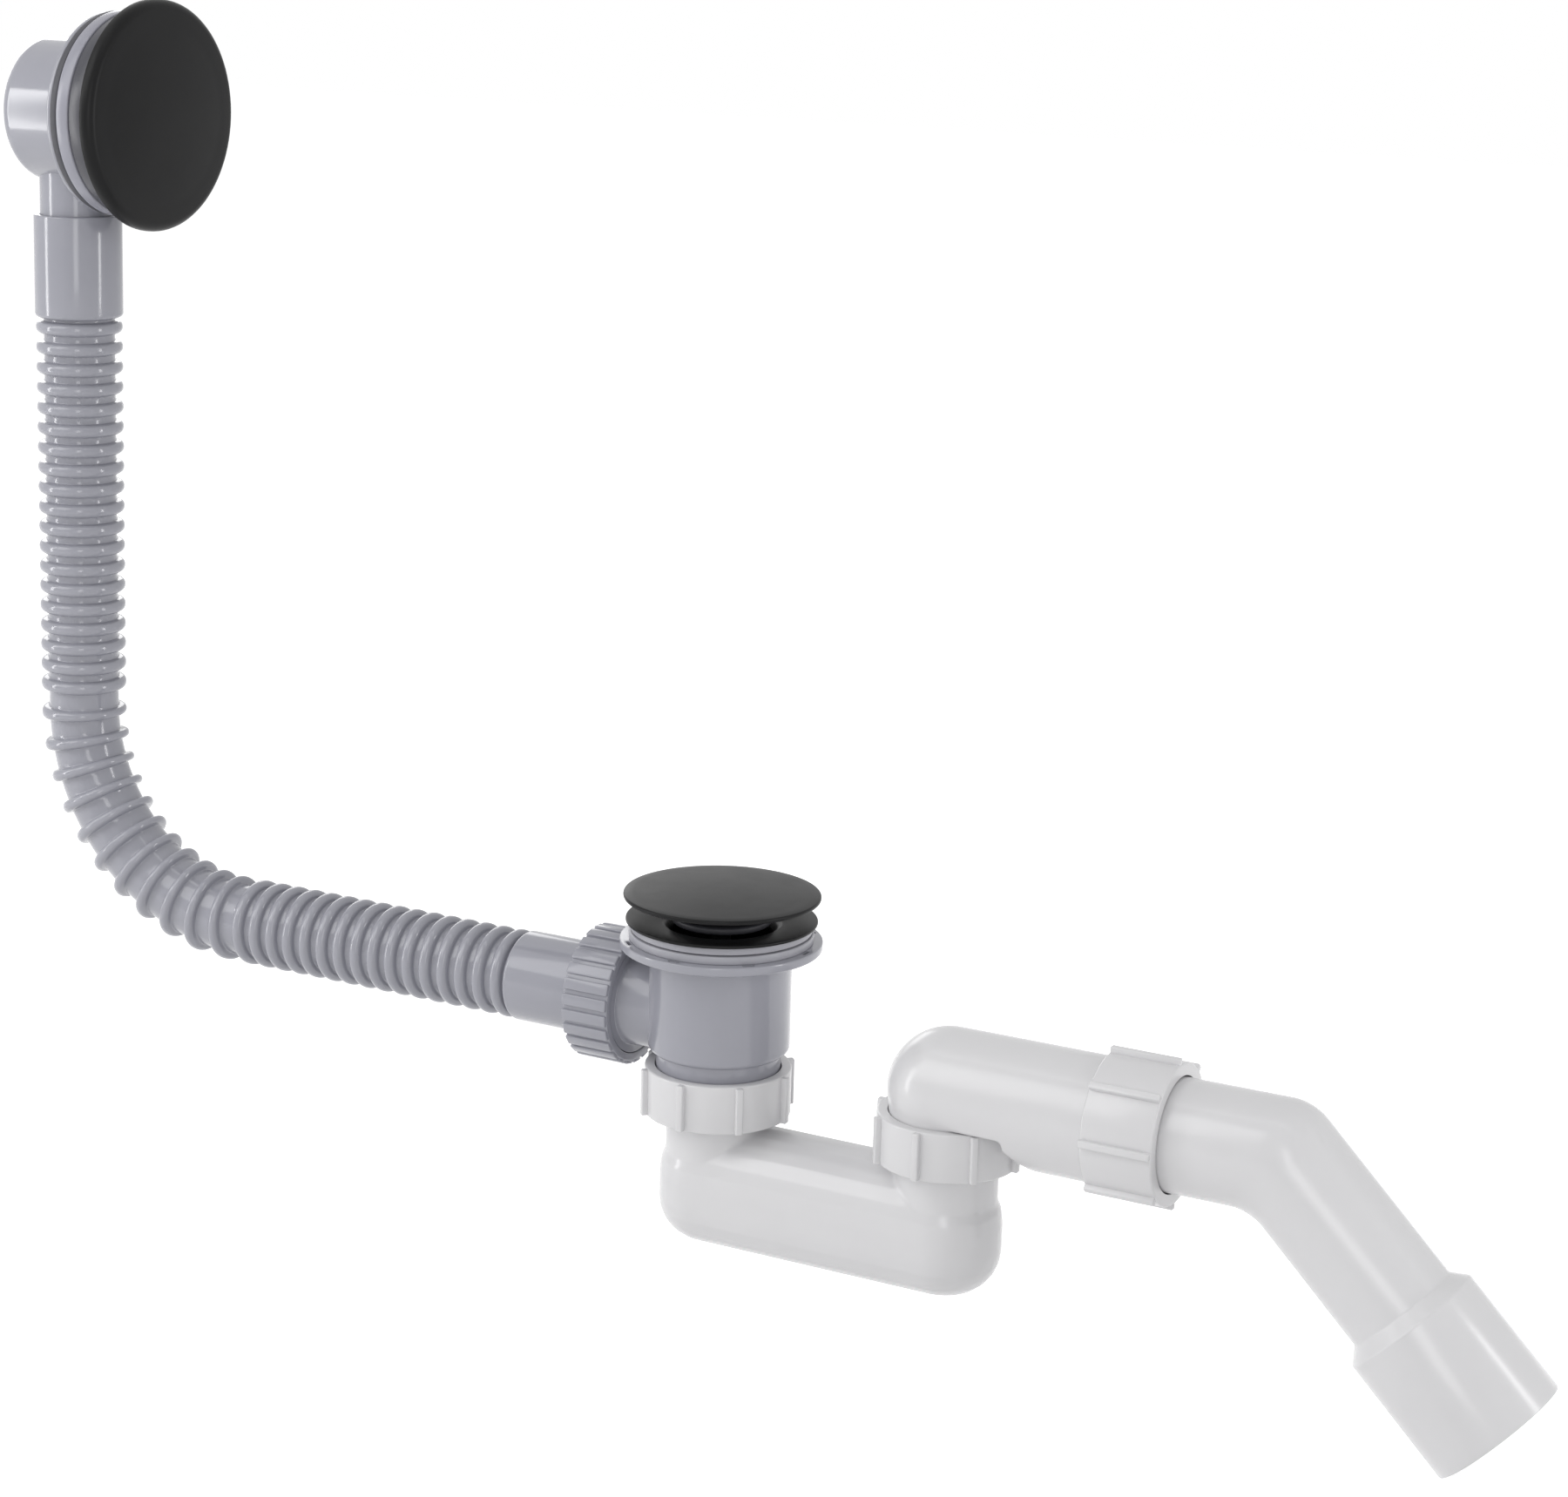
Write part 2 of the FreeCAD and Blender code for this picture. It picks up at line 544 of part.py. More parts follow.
def hose_nut():
    body = new_body("hose_nut")
    length = s.hose_nut_near_x + s.hose_nut_far_x
    bore = s.collar_r + s.thread_gap
    rim = s.ridge_deep
    turn(body, "sleeve", [
        (bore, 0), (s.hose_nut_r - rim, 0), (s.hose_nut_r, rim), (s.hose_nut_r, length - rim),
        (s.hose_nut_r - rim, length), (s.cuff_r + s.thread_gap, length),
        (s.cuff_r + s.thread_gap, length - s.hose_nut_lip), (bore, length - s.hose_nut_lip),
    ])
    width = s.hose_nut_r * math.pi / s.ridge_count
    groove = block(body, "groove", s.hose_nut_r - s.ridge_deep, s.hose_nut_r + s.ridge_deep,
                   width * -0.5, width * 0.5, 0, length, cut=True)
    copies_round(body, "grooves", groove, s.ridge_count)
    place(body, -hose_nut_start, -s.arm_z, -EAST)
    return body


nut_long = s.nut_low_z - s.nut_top_z
parts.append(hose_nut())
parts.append(ring("hose_seal", s.collar_r, s.arm_root_r - s.arm_wall, s.arm_end_x, s.arm_end_x + s.seal_h,
                  z=-s.arm_z, tilt=-EAST))
parts.append(union_nut("inlet_nut", s.inlet_nut_r, s.neck_r + s.thread_gap, s.trap_neck_r + s.face_gap,
                       nut_long, s.nut_floor, z=-s.nut_low_z))
parts.append(ring("inlet_seal", s.neck_r, s.neck_r - s.neck_wall, -s.neck_end_z - s.seal_h, -s.neck_end_z))


# The trap: a flat-bottomed U with rounded ends, an inlet neck and a riser neck, both with collars
def rounded_trough(name, radius, top, low, top_round, low_round):
    body = new_body(name)
    sketch = new_sketch(body, "plan", plane="XY_Plane", lift=low)
    outline(sketch, [(0, -radius), (s.trap_reach, -radius), (s.trap_reach, radius), (0, radius)],
            arcs={1: (None, -1), 3: (None, -1)})
    pad = body.newObject("PartDesign::Pad", f"{name}_block")
    pad.Profile = sketch
    pad.setExpression("Length", (top - low).formula)
    doc.recompute()
    for word, level, size in (("low", low, low_round), ("top", top, top_round)):
        base = body.Tip
        names = [f"Edge{i}" for i, edge in enumerate(body.Shape.Edges, start=1)
                 if all(abs(corner.Z - level.value) < 0.01 for corner in edge.Vertexes)]
        fillet = body.newObject("PartDesign::Fillet", f"{name}_{word}_round")
        fillet.Base = (base, names)
        fillet.setExpression("Radius", size.formula)
        body.Tip = fillet
        doc.recompute()
    return body


def trap_bend():
    wall = s.trap_wall
    outer = rounded_trough("trap_outer", s.trap_r, -s.trap_top_z, -s.trap_low_z, s.trap_top_round,
                           s.trap_low_round)
    inner = rounded_trough("trap_hollow", s.trap_r - wall, -s.trap_top_z - wall, -s.trap_low_z + wall,
                           s.trap_top_round - wall, s.trap_low_round - wall)
    neck_top = -s.neck_end_z - s.seal_h - s.face_gap
    middle = -(s.trap_top_z + s.trap_r)
    shells, bores = [outer], [inner]
    for word, x, collar_r in (("inlet", as_size(0), s.neck_r), ("riser", s.trap_reach, s.elbow_leg_r)):
        shells.append(solid("Cylinder", f"trap_{word}_neck", x, middle, Radius=s.trap_neck_r,
                            Height=neck_top - middle))
        shells.append(solid("Cylinder", f"trap_{word}_collar", x, neck_top - s.trap_collar_h, Radius=collar_r,
                            Height=s.trap_collar_h))
        bores.append(solid("Cylinder", f"trap_{word}_bore", x, middle, Radius=s.trap_neck_r - wall,
                           Height=neck_top - middle))
    return cut("trap_bend", fuse("trap_shell", *shells), fuse("trap_bores", *bores))


parts.append(trap_bend())
parts.append(union_nut("riser_nut", s.riser_nut_r, s.elbow_leg_r + s.thread_gap, s.trap_neck_r + s.face_gap,
                       nut_long, s.nut_floor, x=s.trap_reach, z=-s.nut_low_z))
parts.append(ring("riser_seal", s.elbow_leg_r, s.trap_neck_r - s.trap_wall, -s.neck_end_z - s.seal_h,
                  -s.neck_end_z, x=s.trap_reach))


# The elbow: a level tube that ends in a ball over the riser, undercut to clear the riser nut
def elbow():
    axis_z = -s.elbow_z
    bore_r = s.elbow_r - s.elbow_wall
    leg_bore = s.trap_neck_r - s.trap_wall
    tube = solid("Cylinder", "elbow_tube", s.trap_reach, axis_z, EAST, Radius=s.elbow_r,
                 Height=s.elbow_end_x)
    ball = solid("Sphere", "elbow_ball", s.trap_reach, axis_z, Radius=s.elbow_r)

    def wedge(name, wall):
        """The room for the riser nut: what lies under a level plane above the nut, under a step down behind
        it and under a 45 degree slope from there, all moved in by a wall's thickness."""
        body = new_body(name)
        sketch = new_sketch(body, "side")
        low = axis_z - s.elbow_r - s.tool_margin
        level = s.face_gap - s.nut_top_z + wall
        step_x = s.trap_reach + s.riser_nut_r + s.nut_rib_h + s.undercut_x + wall
        knee_z = wall * (math.sqrt(2) - 1) - s.undercut_z
        back_x = s.trap_reach - s.elbow_r - s.tool_margin
        outline(sketch, [(back_x, low), (step_x + knee_z - low, low), (step_x, knee_z), (step_x, level),
                         (back_x, level)])
        pad = body.newObject("PartDesign::Pad", f"{name}_block")
        pad.Profile = sketch
        pad.SideType = "Symmetric"
        pad.setExpression("Length", ((s.elbow_r + s.tool_margin) * 2).formula)
        return body

    outer = cut("elbow_outer", fuse("elbow_solid", tube, ball), wedge("elbow_undercut", as_size(0)))
    leg = solid("Cylinder", "elbow_leg", s.trap_reach, -s.neck_end_z, Radius=s.elbow_leg_r,
                Height=s.neck_end_z - s.elbow_z)
    way = solid("Cylinder", "elbow_way", s.trap_reach, axis_z, EAST, Radius=bore_r - s.elbow_wall,
                Height=s.elbow_end_x)
    way_ball = solid("Sphere", "elbow_way_ball", s.trap_reach, axis_z, Radius=bore_r - s.elbow_wall)
    room = cut("elbow_room", fuse("elbow_ways", way, way_ball), wedge("elbow_shelf", s.elbow_wall))
    leg_way = solid("Cylinder", "elbow_leg_way", s.trap_reach, -s.neck_end_z, Radius=leg_bore,
                    Height=s.neck_end_z - s.elbow_z)
    socket = solid("Cylinder", "elbow_socket", socket_start, axis_z, EAST, Radius=s.pipe_r + s.face_gap,
                   Height=s.socket_x)
    return cut("elbow", fuse("elbow_shell", outer, leg), fuse("elbow_hollow", room, leg_way, socket))


def outlet_bend():
    axis_z = -s.elbow_z
    slant = s.outlet_turn + EAST
    pipe_start = socket_start + s.pipe_start_x
    vertex = elbow_end + s.outlet_vertex_x

    def spot(distance):
        return (vertex + cosine(s.outlet_turn) * distance, axis_z - sine(s.outlet_turn) * distance)

    def lining(word, inset):
        radius = s.pipe_r - inset
        wide = s.end_r - inset
        cone_start, end_start = s.slant_long, s.slant_long + s.cone_long
        cone_x, cone_z = spot(cone_start)
        end_x, end_z = spot(end_start)
        return [
            solid("Cylinder", f"outlet_{word}_pipe", pipe_start, axis_z, EAST, Radius=radius,
                  Height=vertex - pipe_start),
            solid("Sphere", f"outlet_{word}_ball", vertex, axis_z, Radius=radius),
            solid("Cylinder", f"outlet_{word}_slant", vertex, axis_z, slant, Radius=radius,
                  Height=cone_start),
            solid("Cone", f"outlet_{word}_cone", cone_x, cone_z, slant, Radius1=radius, Radius2=wide,
                  Height=s.cone_long),
            solid("Cylinder", f"outlet_{word}_end", end_x, end_z, slant, Radius=wide, Height=s.end_long),
        ]

    return cut("outlet_bend", fuse("outlet_shell", *lining("outer", as_size(0))),
               fuse("outlet_way", *lining("inner", s.pipe_wall)))


outlet_nut_long = s.outlet_nut_near_x + s.outlet_nut_far_x
outlet_nut_end = elbow_end + s.outlet_nut_far_x
parts.append(elbow())
parts.append(union_nut("outlet_nut", s.outlet_nut_r, s.elbow_r + s.thread_gap, s.pipe_r + s.face_gap * 2,
                       outlet_nut_long, s.outlet_nut_floor, x=outlet_nut_end, z=-s.elbow_z, tilt=-EAST))
parts.append(ring("outlet_seal", s.elbow_r, s.pipe_r + s.face_gap, elbow_end,
                  outlet_nut_end - s.outlet_nut_floor, z=-s.elbow_z, tilt=EAST))
parts.append(outlet_bend())


# The overflow: turned pieces on a level axis, whose own Z axis points into the bath along +X
def overflow_body():
    body = new_body("overflow_body")
    back = -s.cup_back
    front = s.cup_flange_x
    flange_back = front - s.cup_flange_h
    turn(body, "cup", [
        (0, back), (s.cup_r - s.cup_round, back), (s.cup_r, back + s.cup_round),
        (s.cup_r, flange_back - s.cup_round), (s.cup_r + s.cup_round, flange_back),
        (s.cup_flange_r, flange_back), (s.cup_flange_r, front), (0, front),
    ], arcs={1: (s.cup_round, -1), 3: (s.cup_round, 1)})
    sketch = new_sketch(body, "spigot_section", plane="YZ_Plane")
    circle(sketch, s.spigot_r)
    spigot = body.newObject("PartDesign::Pad", "overflow_body_spigot")
    spigot.Profile = sketch
    spigot.setExpression("Length", s.spigot_reach.formula)
    inner = s.cup_r - s.cup_wall
    deep = s.cup_round - s.cup_wall * 0.5
    turn(body, "hollow", [
        (0, back + s.cup_wall), (inner - deep, back + s.cup_wall), (inner, back + s.cup_wall + deep),
        (inner, front), (0, front),
    ], arcs={1: (deep, -1)}, cut=True)
    bore = new_sketch(body, "spigot_bore_section", plane="YZ_Plane")
    circle(bore, s.spigot_r - s.spigot_wall)
    pocket = body.newObject("PartDesign::Pocket", "overflow_body_spigot_bore")
    pocket.Profile = bore
    pocket.setExpression("Length", s.spigot_reach.formula)
    pocket.Reversed = True
    turn(body, "boss", ring_points(s.boss_r, s.screw_r, back + s.cup_wall * 0.5, s.boss_front_x))
    place(body, -s.overflow_x, s.overflow_z, EAST)
    return body


def spider_ring(label, points, web_low, web_high, hub_r, hole_r, rim_inner, start, notch=None):
    """A ring with three webs that carry a hub in its middle, so that water passes between them, most of all
    at the bottom."""
    body = new_body(label)
    turn(body, "ring", points)
    web = block(body, "web", -s.thread_gap - rim_inner, -hole_r, s.web_w * -0.5, s.web_w * 0.5, web_low,
                web_high - web_low)
    copies_round(body, "webs", web, s.web_count)
    turn(body, "hub", ring_points(hub_r, hole_r, web_low, web_high))
    turn(body, "hub_hole", ring_points(hole_r, 0, web_low, web_high), cut=True)
    if notch is not None:
        block(body, "notch", rim_inner - s.carrier_wall, s.carrier_r + s.thread_gap, s.notch_w * -0.5,
              s.notch_w * 0.5, notch[0], notch[1], cut=True)
    place(body, start, s.overflow_z, EAST)
    return body


wall_x = s.cup_flange_x - s.overflow_x
front_ring_x = wall_x + s.wall_gasket_h
carrier_x = front_ring_x + s.front_ring_h
cover_x = carrier_x + s.carrier_h + s.cover_gap
screw_hole_r = s.screw_r + s.face_gap

parts.append(overflow_body())
parts.append(ring("wall_gasket", s.wall_gasket_r, s.ring_hole_r, 0, s.wall_gasket_h, x=wall_x, z=s.overflow_z,
                  tilt=EAST))
parts.append(spider_ring(
    "front_ring", ring_points(s.front_ring_r, s.ring_hole_r, 0, s.front_ring_h), as_size(0),
    s.front_web_h, s.hub_r, screw_hole_r, s.ring_hole_r, front_ring_x))
carrier_inner = s.carrier_r - s.carrier_wall
parts.append(spider_ring(
    "cover_carrier", [(carrier_inner, 0), (s.carrier_back_r, 0), (s.carrier_r, s.carrier_h),
                      (carrier_inner, s.carrier_h)], as_size(0), s.carrier_h - s.front_web_h, s.hub_r,
    s.cover_hub_r - s.cover_wall, carrier_inner, carrier_x, notch=(s.carrier_h - s.notch_h, s.notch_h)))


def overflow_cover():
    body = new_body("overflow_cover")
    wall = s.cover_wall
    top = s.cover_rim_h + s.cover_crown
    round_r = s.cover_rim_h
    face_r = s.cover_r - round_r
    crown_r = (face_r * face_r + s.cover_crown * s.cover_crown) / (s.cover_crown * 2)
    stub_low = s.front_web_h - s.cover_gap - s.carrier_h
    stub_r = s.cover_hub_r - wall - s.face_gap
    hub_top = -s.cover_gap - s.front_web_h
    under = s.cover_rim_h - wall
    turn(body, "shell", [
        (0, stub_low), (stub_r, stub_low), (stub_r, hub_top), (s.cover_hub_r, hub_top),
        (s.cover_hub_r, under), (face_r, under), (s.cover_r - wall, wall * 0.5), (s.cover_r - wall, 0),
        (s.cover_r, 0), (face_r, s.cover_rim_h), (0, top),
    ], arcs={8: (round_r, -1), 9: (crown_r, -1)})
    place(body, cover_x, s.overflow_z, EAST)
    return body


def overflow_screw():
    """A pan head screw through the front ring into the cup's boss."""
    body = new_body("overflow_screw")
    seat = front_ring_x + s.front_web_h
    shank_r = s.screw_r - s.thread_gap
    shank = s.front_web_h + s.wall_gasket_h + s.cup_flange_x - s.boss_front_x + s.screw_grip
    turn(body, "screw", [
        (0, -shank), (shank_r, -shank), (shank_r, 0), (s.screw_head_r, 0), (s.screw_head_r, s.screw_edge_h),
        (s.screw_top_r, s.screw_head_h), (0, s.screw_head_h),
    ])
    block(body, "drive", -s.screw_head_r, s.screw_head_r, s.screw_slot_w * -0.5, s.screw_slot_w * 0.5,
          s.screw_head_h * 0.5, s.screw_head_h, cut=True)
    place(body, seat, s.overflow_z, EAST)
    return body


parts.append(overflow_cover())
parts.append(overflow_screw())

doc.recompute()
failed = [item.Name for item in doc.Objects if "Invalid" in item.State or "Error" in item.State]
if failed:
    raise RuntimeError(f"these did not build: {failed}")

os.makedirs("parts", exist_ok=True)
for part in parts:
    shape = part.Shape
    if shape.isNull() or not shape.isValid() or not shape.Solids:
        raise RuntimeError(f"{part.Label} is not a valid solid")
    print(f"{part.Label}: {len(shape.Solids)} solid, {shape.Volume / 1000:.2f} cm3, box {shape.BoundBox}")
    shape.exportStep(os.path.join("parts", f"{part.Label}.step"))
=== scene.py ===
# %% [markdown]
# # A bath waste and overflow
#
# The object hangs under a bath: a black click plug over a grey waste, a white low trap with a white outlet pipe,
# and a grey corrugated hose that climbs to the round overflow cover. The CAD frame already holds every part at
# its true size. This script loads that frame, gives each part its finish, and models again the pieces whose
# roundings and moulded details make the look. Everything is in metres, in the frame of the CAD.

# %% Load the frame and keep its box
import bpy
import json
import math
from mathutils import Matrix, Vector


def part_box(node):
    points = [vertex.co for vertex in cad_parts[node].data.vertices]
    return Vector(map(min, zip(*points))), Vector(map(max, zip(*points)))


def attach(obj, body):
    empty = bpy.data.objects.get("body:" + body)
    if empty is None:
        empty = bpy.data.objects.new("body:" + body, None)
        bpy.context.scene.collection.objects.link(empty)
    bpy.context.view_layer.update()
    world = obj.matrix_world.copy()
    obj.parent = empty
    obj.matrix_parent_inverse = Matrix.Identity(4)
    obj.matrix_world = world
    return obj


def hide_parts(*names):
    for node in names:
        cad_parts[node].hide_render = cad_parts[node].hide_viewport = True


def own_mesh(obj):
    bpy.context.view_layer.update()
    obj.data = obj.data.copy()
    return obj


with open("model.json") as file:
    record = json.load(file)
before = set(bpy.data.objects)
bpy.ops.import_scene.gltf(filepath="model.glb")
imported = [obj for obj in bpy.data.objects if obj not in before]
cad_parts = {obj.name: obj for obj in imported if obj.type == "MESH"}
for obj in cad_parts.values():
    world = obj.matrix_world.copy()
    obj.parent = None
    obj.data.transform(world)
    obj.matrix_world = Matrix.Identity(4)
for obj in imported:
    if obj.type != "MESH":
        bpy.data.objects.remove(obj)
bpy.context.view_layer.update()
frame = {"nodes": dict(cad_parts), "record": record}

# %% [markdown]
# ## Helpers
#
# Most pieces here are turned: a profile is drawn with one vertex that is extruded from corner to corner, its
# corners are rounded by bevelling single vertices, and it is spun round the Z axis. That is how a moulder's tool
# is cut too, so the roundings fall where real ones do. A piece is turned on the origin first, and then laid in
# its place and applied, so that its object stays at the origin with no turn and no scale.

# %% Selection and edit helpers
MM = 0.001
AROUND = 96  # steps of a full turn
EAST = 90  # tilt that lays a piece's own Z axis along +X
LINE_WELD, WELD, PIPE_WELD = 1e-6, 2e-6, 2e-5  # metres, within which two vertices are one
NEAR = 0.01  # millimetres, within which a vertex counts as lying at a place
OVERCUT = 1  # millimetres that a cutting tool passes the face it cuts through

record = frame["record"]
slot_of = {entry["node"]: entry["material_slot"] for entry in record["subparts"]}
joint_at = {joint["name"]: Vector(joint["pos_m"]) / MM
            for joint in record["behaviour"]["joints"] if "pos_m" in joint}
mount_at = {mount["name"]: Vector(mount["pos_m"]) / MM for mount in record["mounts"]}


def span(node):
    """The lowest and the highest corner of a CAD node, in millimetres."""
    low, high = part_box(node)
    return Vector(low) / MM, Vector(high) / MM


def clear_selection():
    """Nothing selected and nothing in edit mode."""
    if bpy.context.object and bpy.context.object.mode != "OBJECT":
        bpy.ops.object.mode_set(mode="OBJECT")
    bpy.ops.object.select_all(action="DESELECT")


def pick(*chosen):
    """Only these objects selected, the first of them active."""
    clear_selection()
    for obj in chosen:
        obj.select_set(True)
    bpy.context.view_layer.objects.active = chosen[0]


def choose(obj, test, kind="VERT"):
    """In edit mode, selects the vertices or the edges whose middle passes a test, in millimetres."""
    bpy.ops.mesh.select_all(action="DESELECT")
    bpy.ops.mesh.select_mode(type=kind)
    bpy.ops.object.mode_set(mode="OBJECT")
    corners = obj.data.vertices
    for item in corners if kind == "VERT" else obj.data.edges:
        if kind == "VERT":
            middle = item.co
        else:
            middle = (corners[item.vertices[0]].co + corners[item.vertices[1]].co) / 2
        item.select = bool(test(*(middle / MM)))
    bpy.ops.object.mode_set(mode="EDIT")


print("joints at", {name: tuple(round(v, 1) for v in spot) for name, spot in joint_at.items()})


# %% Draw a line
def draw_line(name, points, closed):
    """Extrudes one vertex through (x, z) points in millimetres, and leaves the line in edit mode."""
    clear_selection()
    first = points[0]
    bpy.ops.mesh.primitive_plane_add(size=MM, location=(first[0] * MM, 0, first[1] * MM))
    obj = bpy.context.object
    bpy.ops.object.transform_apply(location=True)
    obj.name = obj.data.name = name
    bpy.ops.object.mode_set(mode="EDIT")
    bpy.ops.mesh.select_mode(type="VERT")
    bpy.ops.mesh.select_all(action="SELECT")
    bpy.ops.mesh.merge(type="CENTER")
    last = first
    for point in list(points[1:]) + ([first] if closed else []):
        step = ((point[0] - last[0]) * MM, 0, (point[1] - last[1]) * MM)
        bpy.ops.mesh.extrude_region_move(TRANSFORM_OT_translate={"value": step})
        last = point
    bpy.ops.mesh.select_all(action="SELECT")
    bpy.ops.mesh.remove_doubles(threshold=LINE_WELD)
    return obj


def close_up():
    """Merges doubles and turns all faces outwards."""
    bpy.ops.mesh.select_all(action="SELECT")
    bpy.ops.mesh.remove_doubles(threshold=WELD)
    bpy.ops.mesh.normals_make_consistent(inside=False)


def smooth(obj, degrees=32):
    """Smooth shading, except where two faces meet at more than an angle."""
    pick(obj)
    bpy.ops.object.shade_smooth_by_angle(angle=math.radians(degrees))


print("line tools ready, vertices weld within", LINE_WELD, "m")


# %% Turn a line
def lathe(name, profile, closed=True, steps=AROUND):
    """Turns a profile of (radius, height, rounding) corners round Z, in millimetres."""
    profile = [(*point, 0)[:3] for point in profile]
    obj = draw_line(name, profile, closed)
    for rounding in sorted({point[2] for point in profile if point[2] > 0}):
        spots = [point for point in profile if point[2] == rounding]
        choose(obj, lambda x, y, z: any(abs(x - a) < NEAR and abs(z - b) < NEAR for a, b, _ in spots))
        segments = 3 if rounding < 1 else 6
        bpy.ops.mesh.bevel(offset=rounding * MM, segments=segments, affect="VERTICES", clamp_overlap=True)
    bpy.ops.mesh.select_all(action="SELECT")
    bpy.ops.mesh.spin(steps=steps, angle=2 * math.pi, center=(0, 0, 0), axis=(0, 0, 1))
    close_up()
    smooth(obj)
    return obj


print("lathe ready,", AROUND, "steps a turn")


# %% Rings, crowns and places
def ring(name, outer, inner, low, high, rounding=0.4):
    """A flat ring with rounded edges."""
    return lathe(name, [(inner, low, rounding), (outer, low, rounding), (outer, high, rounding),
                        (inner, high, rounding)])


def dome(edge_r, edge_z, rise, steps=12):
    """The points of a shallow crown, from its edge to the axis."""
    radius = (edge_r ** 2 + rise ** 2) / (2 * rise)
    half_angle = math.asin(edge_r / radius)
    drop = radius - rise
    points = []
    for number in range(1, steps + 1):
        angle = half_angle * (1 - number / steps)
        points.append((radius * math.sin(angle), edge_z + radius * math.cos(angle) - drop))
    return points


def lay(obj, x=0, z=0, tilt=0):
    """Tilts a finished mesh about Y towards +X and moves it to (x, 0, z), in degrees and millimetres."""
    pick(obj)
    obj.rotation_euler = (0, math.radians(tilt), 0)
    obj.location = (x * MM, 0, z * MM)
    bpy.ops.object.transform_apply(location=True, rotation=True, scale=True)
    return obj


print("rings and crowns ready")


# %% Bars, and copies round an axis
def bar(name, x_low, x_high, y_low, y_high, z_low, z_high, edge=0.0):
    """A block between six planes, in millimetres, with rounded edges."""
    clear_selection()
    middle = ((x_low + x_high) / 2 * MM, (y_low + y_high) / 2 * MM, (z_low + z_high) / 2 * MM)
    bpy.ops.mesh.primitive_cube_add(size=1, location=middle)
    obj = bpy.context.object
    obj.name = obj.data.name = name
    obj.scale = ((x_high - x_low) * MM, (y_high - y_low) * MM, (z_high - z_low) * MM)
    bpy.ops.object.transform_apply(location=True, rotation=True, scale=True)
    if edge:
        bpy.ops.object.mode_set(mode="EDIT")
        bpy.ops.mesh.select_all(action="SELECT")
        bpy.ops.mesh.bevel(offset=edge * MM, segments=3, affect="EDGES")
        bpy.ops.object.mode_set(mode="OBJECT")
        smooth(obj)
    return obj


def join(name, *pieces):
    """Makes one mesh of several."""
    pick(*pieces)
    bpy.ops.object.join()
    pieces[0].name = pieces[0].data.name = name
    return pieces[0]


def around(obj, count):
    """Copies a piece evenly round Z, each copy with its own mesh, and joins the copies."""
    pick(obj)
    copies = [obj]
    for _ in range(1, count):
        bpy.ops.object.duplicate(linked=False)
        bpy.ops.transform.rotate(value=2 * math.pi / count, orient_axis="Z", center_override=(0, 0, 0))
        copies.append(bpy.context.object)
    clear_selection()
    for copy in copies:
        copy.select_set(True)
    bpy.context.view_layer.objects.active = obj
    bpy.ops.object.transform_apply(location=True, rotation=True, scale=True)
    return join(obj.name, *copies)


print("bars ready")


# %% Cutting, melting and finishing
def combine(base, operation, *tools):
    """Unites tools with a base or cuts them out of it, one after the other."""
    for tool in tools:
        modifier = base.modifiers.new("combine", "BOOLEAN")
        modifier.operation = operation
        modifier.solver = "EXACT"
        modifier.use_hole_tolerant = True
        modifier.object = tool
        pick(base)
        bpy.ops.object.modifier_apply(modifier=modifier.name)
        bpy.data.objects.remove(tool)


def soften(obj, voxel, rounds):
    """Gives a piece an even skin and melts its inner corners, as moulded plastic has them."""
    pick(obj)
    remesh = obj.modifiers.new("skin", "REMESH")
    remesh.mode = "VOXEL"
    remesh.voxel_size = voxel * MM
    bpy.ops.object.modifier_apply(modifier=remesh.name)
    melt = obj.modifiers.new("melt", "SMOOTH")
    melt.factor = 0.5
    melt.iterations = rounds
    bpy.ops.object.modifier_apply(modifier=melt.name)
    bpy.ops.object.shade_smooth()


def finish_piece(obj, body, *nodes, finish=None):
    """Gives a piece its body and the finish of the first CAD node it stands for, or another, and hides those nodes.
    """
    obj.data.materials.clear()
    obj.data.materials.append(finish or finishes[slot_of[nodes[0]]])
    for face in obj.data.polygons:
        face.material_index = 0
    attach(obj, body)
    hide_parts(*nodes)
    print(obj.name, "has", len(obj.data.polygons), "faces and stands for", ", ".join(nodes))


print("cutting and melting ready")

# %% [markdown]
# ## Surface effects that several finishes share
#
# Injection-moulded plastic is never one flat colour: the melt leaves faint clouds, the tool leaves a very fine
# grain, and handling leaves small shiny scuffs. One node group gives all three as plain colours and values, and
# each material mixes them in with its own strengths.


# %% Tools for a node group
def add_socket(group, name, kind, way, default=None):
    """A named input or output of a node group."""
    socket = group.interface.new_socket(name=name, in_out=way, socket_type=kind)
    if default is not None:
        socket.default_value = default


def noise(group, vector, scale, detail, roughness=0.55):
    """Noise from 0 to 1 over the surface, its scale in waves to a metre."""
    node = group.nodes.new("ShaderNodeTexNoise")
    node.inputs["Scale"].default_value = scale
    node.inputs["Detail"].default_value = detail
    node.inputs["Roughness"].default_value = roughness
    group.links.new(vector, node.inputs["Vector"])
    return node.outputs["Fac"]


def spread(group, value, low, high, new_low=0.0, new_high=1.0):
    """Stretches the part of a value between low and high to a new range."""
    node = group.nodes.new("ShaderNodeMapRange")
    node.inputs["From Min"].default_value = low
    node.inputs["From Max"].default_value = high
    node.inputs["To Min"].default_value = new_low
    node.inputs["To Max"].default_value = new_high
    group.links.new(value, node.inputs["Value"])
    return node.outputs["Result"]


def blend_colour(group, factor, first, second):
    """Mixes two colours by a factor."""
    node = group.nodes.new("ShaderNodeMix")
    node.data_type = "RGBA"
    for socket, value in ((node.inputs[0], factor), (node.inputs[6], first), (node.inputs[7], second)):
        group.links.new(value, socket)
    return node.outputs[2]


